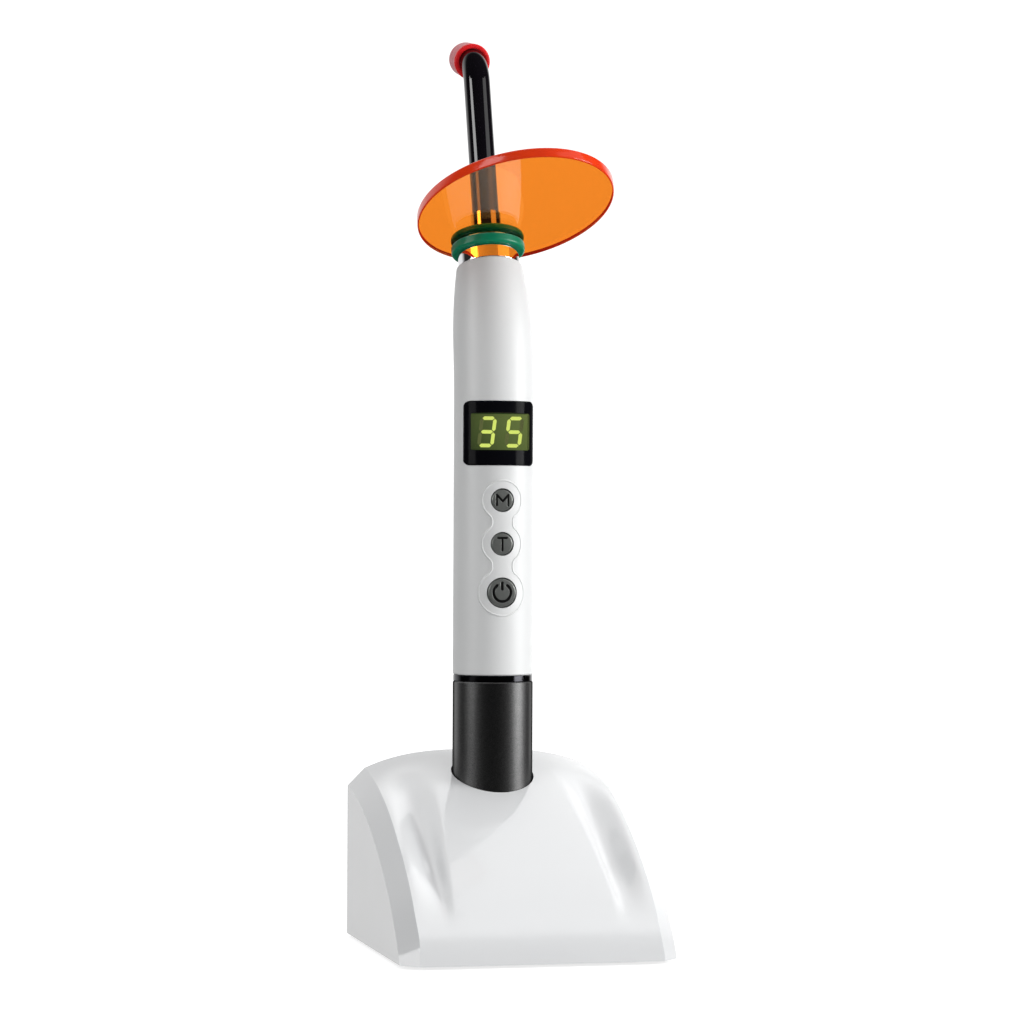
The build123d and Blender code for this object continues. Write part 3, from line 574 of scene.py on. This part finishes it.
DIGIT_H = 9.6 * MM
DIGIT_W = 5.3 * MM
DIGIT_SPACING = 8.7 * MM
DIGITS_RIGHT = 0.4 * MM
SEGMENT_W = 1.12 * MM
SEGMENT_GAP = 0.18 * MM
SEGMENT_T = 0.04 * MM
SLANT = tan(radians(7))
PANEL_EDGE = 0.15 * MM
# Each bar runs between two corners of the digit's box, in half widths and half heights.
SEGMENTS = {
    "top": ((-1, 1), (1, 1)),
    "middle": ((-1, 0), (1, 0)),
    "bottom": ((-1, -1), (1, -1)),
    "upper_left": ((-1, 0), (-1, 1)),
    "upper_right": ((1, 0), (1, 1)),
    "lower_left": ((-1, -1), (-1, 0)),
    "lower_right": ((1, -1), (1, 0)),
}
# The lit bars of the left digit, a 3, and of the right one, a 5.
LIT = {
    -1: ("top", "middle", "bottom", "upper_right", "lower_right"),
    1: ("top", "middle", "bottom", "upper_left", "lower_right"),
}


def display_panel():
    """The display's block, with its front edges broken."""
    x, z = panel_high.x, (panel_high.z - panel_low.z) / 2
    place = basis((0, panel_low.y, (panel_low.z + panel_high.z) / 2), (0, -1, 0), TO_RIGHT)
    depth = panel_high.y - panel_low.y
    points = []
    for inset, height in ((0, -depth), (0, -PANEL_EDGE), (PANEL_EDGE, 0)):
        for sx, sz in ((-1, -1), (1, -1), (1, 1), (-1, 1)):
            points.append((sx * (x - inset), sz * (z - inset), height))
    faces = ring_faces(3, 4, False) + [(3, 2, 1, 0), (8, 9, 10, 11)]
    mesh = finished("display_panel", points, faces, place, sharp=20)
    return add_piece("display_panel", mesh, "display_green", "handpiece", "digit_display")


def segment(start, end):
    """Six-sided outline of one bar of a digit, with its two ends cut at 45 degrees."""
    along = (end - start).normalized()
    across = Vector((-along.y, along.x)) * SEGMENT_W / 2
    first = start + along * SEGMENT_GAP
    last = end - along * SEGMENT_GAP
    inset = along * SEGMENT_W / 2
    far_first, far_last = first + inset, last - inset
    return [
        first, far_first - across, far_last - across,
        last, far_last + across, far_first + across,
    ]


def digits(name, want_lit, material):
    """All lit or all unlit bars of the two digits, as thin raised plates on the panel."""
    centre_z = (panel_low.z + panel_high.z) / 2
    half = Vector(((DIGIT_W - SEGMENT_W) / 2, (DIGIT_H - SEGMENT_W) / 2))
    place = basis((DIGITS_RIGHT, panel_low.y, centre_z), (0, -1, 0), TO_RIGHT)
    points, faces = [], []
    for side, lit in LIT.items():
        for bar, (start, end) in SEGMENTS.items():
            if (bar in lit) is not want_lit:
                continue
            outline = segment(Vector(start) * half, Vector(end) * half)
            base = len(points)
            for height in (-SEGMENT_T, SEGMENT_T):
                for spot in outline:
                    across = spot.x + spot.y * SLANT + side * DIGIT_SPACING / 2
                    points.append((across, spot.y, height))
            count = len(outline)
            faces += [[base + i for i in face] for face in ring_faces(2, count, False)]
            faces.append([base + i for i in reversed(range(count))])
            faces.append([base + i for i in range(count, 2 * count)])
    mesh = finished(name, points, faces, place, sharp=20)
    mesh.materials.append(material)
    return add_piece(name, mesh, "display_green", "handpiece")


lit_colour = lit_panel("segment_lit", (0.30, 0.36, 0.08), (0.72, 0.76, 0.22), 0.95)
unlit_colour = lit_panel("segment_unlit", (0.10, 0.10, 0.04), (0.105, 0.105, 0.060), 0.8)
display_panel()
digits("digits_lit", True, lit_colour.material)
digits("digits_unlit", False, unlit_colour.material)


# ---------------------------------------------------------------- keys with sunk legends

KEY_FACE = 12.4 * MM
KEY_CROWN = 0.14 * MM
KEY_ROUNDING = 0.5 * MM
ROUNDING_STEPS = 6
FLANGE_STEP = 0.67 * MM
FLANGE_HEIGHT = 0.5 * MM
POST_R = 1.2 * MM
FLANGE_FRONT = 9.5 * MM
POWER_FLANGE_FRONT = 9.1 * MM
LEGEND_DEPTH = 0.28 * MM
LEGEND_SOFTNESS = 0.09 * MM


def arc(radius, start, end, steps=36):
    """Points on an arc about the key's centre, angles in degrees from the right."""
    turns = [radians(start + (end - start) * i / steps) for i in range(steps + 1)]
    return [(radius * cos(t), radius * sin(t)) for t in turns]


# A legend is a list of strokes: the points it runs through and its width, in millimetres.
THIN, WIDE, WIDEST = 0.68, 0.85, 0.95
LETTER_M = [([(-1.8, -1.6), (-1.8, 1.6), (0, -0.35), (1.8, 1.6), (1.8, -1.6)], THIN)]
LETTER_T = [([(-1.4, 1.8), (1.4, 1.8)], THIN), ([(0, 1.8), (0, -2.0)], THIN)]
POWER_MARK = [(arc(2.72, 125, 415), WIDE), ([(0, 1.15), (0, 3.0)], WIDEST)]


def near(x, y, points):
    """Distance from a spot to the nearest part of a chain of points."""
    best = float("inf")
    for (ax, ay), (bx, by) in zip(points, points[1:]):
        dx, dy = bx - ax, by - ay
        t = max(0.0, min(1.0, ((x - ax) * dx + (y - ay) * dy) / (dx * dx + dy * dy)))
        best = min(best, (x - ax - t * dx) ** 2 + (y - ay - t * dy) ** 2)
    return best ** 0.5


def sunk(x, y, legend):
    """How far a spot lies in a legend's groove: 1 on its floor, 0 outside, smooth between."""
    deepest = 0.0
    for points, width in legend:
        edge = (width / 2 - near(x / MM, y / MM, points)) / (LEGEND_SOFTNESS / MM)
        t = max(0.0, min(1.0, (edge + 1) / 2))
        deepest = max(deepest, t * t * (3 - 2 * t))
    return deepest


def key(name, node, flange_front, legend, rings=54, count=200):
    """Round key: crowned cap with a sunk legend, retaining flange and rear post."""
    low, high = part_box(node)
    cap_r = (high.z - low.z) / 2 - FLANGE_STEP
    place = basis((0, AXIS_Y, (low.z + high.z) / 2), (0, -1, 0), TO_RIGHT)
    face_r = cap_r - KEY_ROUNDING
    outline = []
    for i in range(rings + 1):
        outline.append((face_r * i / rings, KEY_FACE + KEY_CROWN * (1 - (i / rings) ** 2)))
    for i in range(1, ROUNDING_STEPS + 1):
        angle = pi / 2 * i / ROUNDING_STEPS
        drop = KEY_ROUNDING * (1 - cos(angle))
        outline.append((face_r + KEY_ROUNDING * sin(angle), KEY_FACE - drop))
    outline += [
        (cap_r, flange_front),
        (cap_r + FLANGE_STEP, flange_front),
        (cap_r + FLANGE_STEP, flange_front - FLANGE_HEIGHT),
        (POST_R, flange_front - FLANGE_HEIGHT),
        (POST_R, AXIS_Y - high.y),
        (0, AXIS_Y - high.y),
    ]
    # The outline is written from the front, and the outer side of a solid runs upward.
    outline.reverse()
    points = turned(outline[1:-1], count, plain)
    levels = []
    for i, (x, y, z) in enumerate(points):
        level = sunk(x, y, legend) if z > KEY_FACE else 0.0
        levels.append(level)
        points[i] = (x, y, z - LEGEND_DEPTH * level)
    faces = ring_faces(len(outline) - 2, count, False)
    end = len(points) - count
    middle = sunk(0, 0, legend)
    faces.append(list(range(count))[::-1])
    points.append((0, 0, KEY_FACE + KEY_CROWN - LEGEND_DEPTH * middle))
    levels.append(middle)
    faces += [(len(points) - 1, end + k, end + (k + 1) % count) for k in range(count)]
    mesh = finished(name, points, faces, place, sharp=60)
    # The depth also colours the groove floors near black in the keys' material: painted shade.
    store = mesh.attributes.new("sunk", "FLOAT", "POINT")
    store.data.foreach_set("value", levels)
    return add_piece(name, mesh, "key_grey", node, node)


key("mode_key", "mode_button", FLANGE_FRONT, LETTER_M)
key("time_key", "time_button", FLANGE_FRONT, LETTER_T)
key("power_key", "power_button", POWER_FLANGE_FRONT, POWER_MARK, rings=70, count=240)


# ---------------------------------------------------------------- the raised line round the keys

RIM_LINE_HALF_W = 0.5 * MM
RIM_LINE_H = 0.38 * MM
RIM_LINE_SUNK = 0.1 * MM
LEAST_STEP = 0.02 * MM
# The outline in millimetres: its half width and fillet between the keys, how far inside it the
# line's middle runs, and the height and radius of its three round parts, from the lowest up.
WAIST_X = 3.4
WAIST_FILLET = 2.2
LINE_INSET = 0.225
LOBES = [(108.8, 7.3), (123.9, 6.3), (137.4, 6.3)]
LOBE_STEPS = 40
FILLET_STEPS = 8


def rim_path():
    """Right-hand half of the outline's centre line, from its lowest point to its highest."""
    fillet_x = WAIST_X + WAIST_FILLET
    path = []

    def sweep(x, z, radius, start, end, count):
        for i in range(count + 1):
            turn = radians(start + (end - start) * i / count)
            path.append((x + radius * cos(turn), z + radius * sin(turn)))

    def rise(lobe_r):
        """Height of a fillet's centre above or below the middle of the round part it leaves."""
        return ((lobe_r + WAIST_FILLET) ** 2 - fillet_x ** 2) ** 0.5

    def lean(lobe_r):
        """Angle at which the round part passes into its fillet, in degrees from the right."""
        return degrees(atan2(rise(lobe_r), fillet_x))

    turned_r = WAIST_FILLET + LINE_INSET
    for i, (z, radius) in enumerate(LOBES):
        start = -90 if i == 0 else -lean(radius)
        end = 90 if i == len(LOBES) - 1 else lean(radius)
        if i > 0:
            foot = z - rise(radius)
            sweep(fillet_x, foot, turned_r, 180, 180 - lean(radius), FILLET_STEPS)
        sweep(0, z, radius - LINE_INSET, start, end, LOBE_STEPS)
        if i < len(LOBES) - 1:
            head = z + rise(radius)
            sweep(fillet_x, head, turned_r, 180 + lean(radius), 180, FILLET_STEPS)
    return path


def keypad_rim(across=10):
    """Soft raised line on the handle's front that frames the three keys."""
    right = rim_path()
    spots = []
    for x, z in right + [(-x, z) for x, z in reversed(right)]:
        spot = Vector((x, z)) * MM
        if not spots or (spot - spots[-1]).length > LEAST_STEP:
            spots.append(spot)
    if (spots[0] - spots[-1]).length < LEAST_STEP:
        spots.pop()
    section = [(-RIM_LINE_HALF_W, -RIM_LINE_SUNK)]
    for i in range(across + 1):
        w = RIM_LINE_HALF_W * (2 * i / across - 1)
        section.append((w, RIM_LINE_H * cos(pi / 2 * w / RIM_LINE_HALF_W) ** 2))
    section.append((RIM_LINE_HALF_W, -RIM_LINE_SUNK))
    points = []
    for i, spot in enumerate(spots):
        onward = (spots[(i + 1) % len(spots)] - spots[i - 1]).normalized()
        outward = Vector((onward.y, -onward.x))
        for w, height in section:
            place = spot + outward * w
            depth = (HANDLE_R ** 2 - place.x ** 2) ** 0.5
            out = (HANDLE_R + height) / HANDLE_R
            points.append((place.x * out, AXIS_Y - depth * out, place.y))
    faces = ring_faces(len(spots), len(section), True)
    mesh = finished("keypad_rim", points, faces, Matrix.Identity(4), sharp=60)
    return add_piece("keypad_rim", mesh, "handle_white", "handpiece")


keypad_rim()


# ---------------------------------------------------------------- the screwed joint's two threads

PITCH = 2.0 * MM
CREST_FLAT = 0.2
RUN_OUT = 0.7 * PITCH
THREAD_DEPTH = 0.42 * MM
THREAD_COUNT = 144
SHOULDER_GAP = 0.1 * MM
THREAD_START = 0.8 * MM
CARRIER_BORE = 9.35 * MM
NECK_R = 10.2 * MM
NECK_CHAMFER = 0.5 * MM
BORE_R = 10.28 * MM
carrier_low, carrier_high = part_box("battery_carrier")
insert_low, insert_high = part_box("thread_insert")


def tooth(height, angle, low, high):
    """Height of the thread's ridge, 0 to 1, which runs out at both ends."""
    phase = (height / PITCH - angle / (2 * pi)) % 1
    slope = (abs(phase - 0.5) * 2 - CREST_FLAT) / (1 - 2 * CREST_FLAT)
    ending = min((height - low) / RUN_OUT, (high - height) / RUN_OUT, 1.0)
    return max(0.0, min(1.0, slope)) * max(0.0, ending)


def steps(start, end, size=0.125 * MM):
    """Evenly spaced values from start to end."""
    count = round(abs(end - start) / size)
    return [start + (end - start) * i / count for i in range(count + 1)]


def threaded_carrier():
    """Liner of the battery pack with the male thread on its neck."""
    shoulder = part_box("joint_ring")[0].z - SHOULDER_GAP
    thread_low, thread_high = shoulder + THREAD_START, carrier_high.z - NECK_CHAMFER

    def shape(radius, height, angle):
        if radius < NECK_R or not thread_low < height < thread_high:
            return radius
        return radius - THREAD_DEPTH * (1 - tooth(height, angle, thread_low, thread_high))

    wall_r = carrier_high.x
    outline = [(CARRIER_BORE, carrier_low.z), (wall_r, carrier_low.z)]
    outline += [(wall_r, shoulder), (NECK_R, shoulder)]
    outline += [(NECK_R, z) for z in steps(thread_low, thread_high)]
    outline += [(NECK_R - NECK_CHAMFER, carrier_high.z), (CARRIER_BORE, carrier_high.z)]
    mesh = ring("threaded_carrier", outline, handle, THREAD_COUNT, shape)
    return add_piece("threaded_carrier", mesh, "carrier_grey", "battery_pack", "battery_carrier")


def threaded_insert():
    """Metal ring in the handle's foot with the female thread in its bore."""
    thread_low, thread_high = insert_low.z - PITCH, insert_high.z + PITCH

    def shape(radius, height, angle):
        if radius > BORE_R:
            return radius
        return radius + THREAD_DEPTH * tooth(height, angle, thread_low, thread_high)

    wall_r = insert_high.x
    outline = [(wall_r, insert_low.z), (wall_r, insert_high.z)]
    outline += [(BORE_R, z) for z in steps(insert_high.z, insert_low.z)]
    mesh = ring("threaded_insert", outline, handle, THREAD_COUNT, shape)
    return add_piece("threaded_insert", mesh, "insert_metal", "handpiece", "thread_insert")


threaded_carrier()
threaded_insert()


# ---------------------------------------------------------------- light guide end: shield, grommet, cap

SHIELD_HALF_W = 28.9 * MM
SHIELD_HALF_L = 42.0 * MM
SHIELD_OFFSET = 28.5 * MM
SHIELD_TURN = Matrix.Rotation(radians(4.6), 2)
SHIELD_HOLE = 9.9 * MM
SHIELD_FOOT = 7.6 * MM
SHIELD_T = 3.0 * MM
SHIELD_EDGE = 0.45 * MM
EDGE_STEPS = 4


def shield_rim():
    """The shield's polished edge, where light that travels inside the acrylic comes out red."""
    surface = Surface("shield_rim", (0.72, 0.045, 0.008), 0.13)
    surface.drift(6 * MM, (0.62, 0.03, 0.006))
    surface.wipe(3 * MM, 0.5, 1.8)
    surface.set("Emission Color", (0.70, 0.03, 0.004, 1.0)).set("Emission Strength", 0.22)
    surface.set("Specular IOR Level", 0.35)
    return surface


def eye_shield(count=256):
    """Flat oval plate with a round hole near one end and softly broken edges."""
    offset = SHIELD_TURN @ Vector((0, -SHIELD_OFFSET))
    oval = []
    for k in range(count):
        angle = 2 * pi * k / count
        spot = Vector((SHIELD_HALF_W * cos(angle), SHIELD_HALF_L * sin(angle)))
        normal = Vector((spot.x / SHIELD_HALF_W ** 2, spot.y / SHIELD_HALF_L ** 2))
        oval.append((offset + SHIELD_TURN @ spot, SHIELD_TURN @ normal.normalized()))
    top = SHIELD_FOOT + SHIELD_T
    turns = [pi / 2 * i / EDGE_STEPS for i in range(EDGE_STEPS + 1)]
    edge = [(SHIELD_EDGE * (1 - sin(a)), SHIELD_EDGE * (1 - cos(a))) for a in turns]
    rings = [(inset, SHIELD_FOOT + rise) for inset, rise in edge]
    rings += [(inset, top - rise) for inset, rise in reversed(edge)]
    points = []
    for inset, height in rings:
        points += [(*(spot - normal * inset), height) for spot, normal in oval]
    # Each point of the hole lies in the direction of its partner on the oval.
    for height in (top, SHIELD_FOOT):
        points += [(*(spot.normalized() * SHIELD_HOLE), height) for spot, _ in oval]
    faces = ring_faces(len(rings) + 2, count, True)
    mesh = finished("eye_shield", points, faces, neck, sharp=50)
    mesh.materials.append(materials["shield_orange"])
    mesh.materials.append(shield_rim().material)
    rim_faces = (len(rings) - 1) * count
    for i, face in enumerate(mesh.polygons):
        face.material_index = 1 if i < rim_faces else 0
        face.use_smooth = i < rim_faces
    return add_piece("eye_shield", mesh, "shield_orange", "light_shield", "light_shield")


GROMMET_FOOT = 4.55 * MM
FLANGE_R = 11.57 * MM
LOWER_FLANGE_T = 3.0 * MM
UPPER_FLANGE_T = 2.0 * MM
GROOVE_R = 9.6 * MM
GROOVE_H = 3.1 * MM
GROMMET_BORE = 6.25 * MM
FLANGE_EDGE = 0.95 * MM
FLANGE_LIP = 0.6 * MM
GROOVE_CORNER = 0.15 * MM
BORE_EDGE = 0.3 * MM


def rubber_grommet():
    """Two soft rounded flanges with the groove that grips the shield between them."""
    low = GROMMET_FOOT
    groove_low = low + LOWER_FLANGE_T
    groove_high = groove_low + GROOVE_H
    high = groove_high + UPPER_FLANGE_T
    outline = rounded([
        (GROMMET_BORE, low, BORE_EDGE),
        (FLANGE_R, low, FLANGE_EDGE),
        (FLANGE_R, groove_low, FLANGE_LIP),
        (GROOVE_R, groove_low, GROOVE_CORNER),
        (GROOVE_R, groove_high, GROOVE_CORNER),
        (FLANGE_R, groove_high, FLANGE_LIP),
        (FLANGE_R, high, FLANGE_EDGE),
        (GROMMET_BORE, high, BORE_EDGE),
    ])
    mesh = ring("rubber_grommet", outline, neck)
    return add_piece("rubber_grommet", mesh, "grommet_green", "shield_grommet", "shield_grommet")


CAP_END = 16.8 * MM
CAP_FLOOR = 15.2 * MM
CAP_R = 5.5 * MM
LIP_R = 5.85 * MM
MOUTH_R = 4.32 * MM
CAP_BORE = 4.26 * MM
LIP_TOP = CAP_MOUTH + 1.9 * MM
WALL_FOOT = CAP_MOUTH + 2.2 * MM
FLARE_TOP = CAP_MOUTH + 2.5 * MM
BORE_FOOT = CAP_MOUTH + 3.3 * MM


def silicone_cap():
    """Cup over the guide's end, with a rolled lip round a slightly wider mouth."""
    wall = rounded([
        (0, CAP_FLOOR, 0),
        (CAP_BORE, CAP_FLOOR, 0.3 * MM),
        (CAP_BORE, BORE_FOOT, 0.4 * MM),
        (MOUTH_R, FLARE_TOP, 0.3 * MM),
        (MOUTH_R, CAP_MOUTH, 0.6 * MM),
        (LIP_R, CAP_MOUTH, 0.65 * MM),
        (LIP_R, LIP_TOP, 0.5 * MM),
        (CAP_R, WALL_FOOT, 0.2 * MM),
        (CAP_R, CAP_END, 1.8 * MM),
        (0, CAP_END, 0),
    ])
    mesh = knob("silicone_cap", wall, tip, count=72)
    return add_piece("silicone_cap", mesh, "tip_red", "tip_cap", "tip_cap")


eye_shield()
rubber_grommet()
silicone_cap()


# ---------------------------------------------------------------- stage: camera, light and floor

CAMERA_SPOT = Vector((-0.23488, -0.98114, 0.12357))
CAMERA_YAW = 13.482
CAMERA_PITCH = 0.573
CAMERA_ROLL = 0.258
SENSOR = 36.0
LENS = 116.02
HEART = Vector((0, 0.02, 0.14))

scene.view_settings.view_transform = "Standard"
camera = bpy.data.objects.new("camera", bpy.data.cameras.new("camera"))
scene.collection.objects.link(camera)
camera.data.sensor_width = SENSOR
camera.data.lens = LENS
heading = Matrix.Rotation(radians(-CAMERA_YAW), 4, "Z")
tilt = Matrix.Rotation(radians(90 + CAMERA_PITCH), 4, "X")
roll = Matrix.Rotation(radians(CAMERA_ROLL), 4, "Z")
camera.matrix_world = Matrix.Translation(CAMERA_SPOT) @ heading @ tilt @ roll
scene.camera = camera


def softbox(name, spot, width, height, power):
    """A soft studio lamp turned towards the middle of the object."""
    data = bpy.data.lights.new(name, "AREA")
    data.shape = "RECTANGLE"
    data.size = width
    data.size_y = height
    data.energy = power
    lamp = bpy.data.objects.new(name, data)
    scene.collection.objects.link(lamp)
    lamp.location = spot
    lamp.rotation_mode = "QUATERNION"
    lamp.rotation_quaternion = (HEART - Vector(spot)).to_track_quat("-Z", "Y")
    return lamp


softbox("key_right", (1.093, -0.444, 0.31), 0.6, 0.56, 10.6)
softbox("side_right", (0.87, -0.63, 0.62), 1.0, 0.8, 2.4)
# From the left, one lamp only shows as a reflection and the other only lights.
softbox("strip_left", (-1.13, -0.24, 0.52), 0.5, 0.85, 6.4).visible_diffuse = False
softbox("fill_left", (-0.94, -0.66, 0.45), 0.5, 0.85, 2.8).visible_glossy = False

# How bright the surroundings are as seen, as a source of light, and in reflections.
SEEN_LEVEL = 1.16
DIFFUSE_LEVEL = 0.13
ABOVE_LEVEL = 0.75
GLOSSY_LEVEL = 0.02
BEHIND_LEVEL = 0.9
CEILING_LEVEL = 1.8
SIDE_LEVEL = 1.4
# Where each part of the surroundings begins and is full, by one part of a unit direction.
OVERHEAD_Z = (0.5, 0.85)
ABOVE_Z = (0.3, 0.9)
BEHIND_Y = (0.45, 0.8)
BEHIND_Z = (-0.35, -0.15)
SIDE_X = (0.15, 0.55)
CEILING_DIR = (0.1, 0.6, 0.79)
CEILING_REACH = (0.35, 0.65)
CEILING_Z = (0.5, 0.7)


def studio():
    """White surroundings as seen, straight or through glass, and dimmer ones as a source of light."""
    world = bpy.data.worlds.new("studio")
    scene.world = world
    world.use_nodes = True
    tree = world.node_tree
    backdrop = tree.nodes["Background"]
    backdrop.inputs["Color"].default_value = (1, 1, 1, 1)
    path = tree.nodes.new("ShaderNodeLightPath").outputs
    direction = tree.nodes.new("ShaderNodeTexCoord").outputs["Generated"]
    parts = tree.nodes.new("ShaderNodeSeparateXYZ")
    tree.links.new(direction, parts.inputs[0])

    def rise(axis, ends):
        """0 to 1 as the direction's part along an axis goes from one end to the other."""
        return remap(tree, parts.outputs[axis], *ends, kind="SMOOTHSTEP")

    def both(first, second):
        return reckon(tree, "MULTIPLY", first, second)

    def opposite(value):
        return reckon(tree, "SUBTRACT", 1.0, value)

    def choose(factor, off, on):
        return remap(tree, factor, 0.0, 1.0, off, on)

    overhead = both(path["Glossy Depth"], rise("Z", OVERHEAD_Z))
    through = both(path["Is Transmission Ray"], opposite(path["Diffuse Depth"]))
    through = both(through, opposite(overhead))
    seen = reckon(tree, "MAXIMUM", path["Is Camera Ray"], through)
    behind = both(rise("Y", BEHIND_Y), rise("Z", BEHIND_Z))
    mirrored = choose(behind, GLOSSY_LEVEL, BEHIND_LEVEL)
    # The bright ceiling and the light behind on the right show only in blurred reflections:
    # polished metal and glass stay dark there, as in the photo.
    blurred = opposite(path["Is Singular Ray"])
    reach = dot(tree, direction, CEILING_DIR)
    ceiling = both(blurred, remap(tree, reach, *CEILING_REACH, kind="SMOOTHSTEP"))
    mirrored = choose(both(ceiling, rise("Z", CEILING_Z)), mirrored, CEILING_LEVEL)
    side = both(blurred, both(behind, rise("X", SIDE_X)))
    mirrored = choose(side, mirrored, SIDE_LEVEL)
    soft = choose(rise("Z", ABOVE_Z), DIFFUSE_LEVEL, ABOVE_LEVEL)
    dim = choose(path["Is Glossy Ray"], soft, mirrored)
    feed(tree, backdrop.inputs["Strength"], choose(seen, dim, SEEN_LEVEL))


studio()

FLOOR_HALF = 6.0
FLOOR_GLOW = (0.80, 0.98)
# Distances from the origin between which the floor's glow grows.
GLOW_ENDS = (0.12, 1.0)


def pale_floor():
    """Plain pale floor that takes soft shadows and shows almost white to the camera."""
    mesh = bpy.data.meshes.new("floor")
    corners = [(x * FLOOR_HALF, y * FLOOR_HALF, 0) for x, y in ((-1, -1), (1, -1), (1, 1), (-1, 1))]
    mesh.from_pydata(corners, [], [(0, 1, 2, 3)])
    floor = bpy.data.objects.new("floor", mesh)
    scene.collection.objects.link(floor)
    look = Surface("floor", (0.55, 0.55, 0.55), 0.6)
    look.set("Specular IOR Level", 0.0).set("Emission Color", (1.0, 1.0, 1.0, 1.0))
    path = look.tree.nodes.new("ShaderNodeLightPath").outputs
    distance = look.tree.nodes.new("ShaderNodeVectorMath")
    distance.operation = "LENGTH"
    look.link(look.place, distance.inputs[0])
    glow = look.spread(distance.outputs["Value"], *FLOOR_GLOW, *GLOW_ENDS)
    glow = reckon(look.tree, "MULTIPLY", glow, path["Is Camera Ray"])
    look.link(glow, look.shader.inputs["Emission Strength"])
    mesh.materials.append(look.material)
    floor.visible_glossy = False


pale_floor()
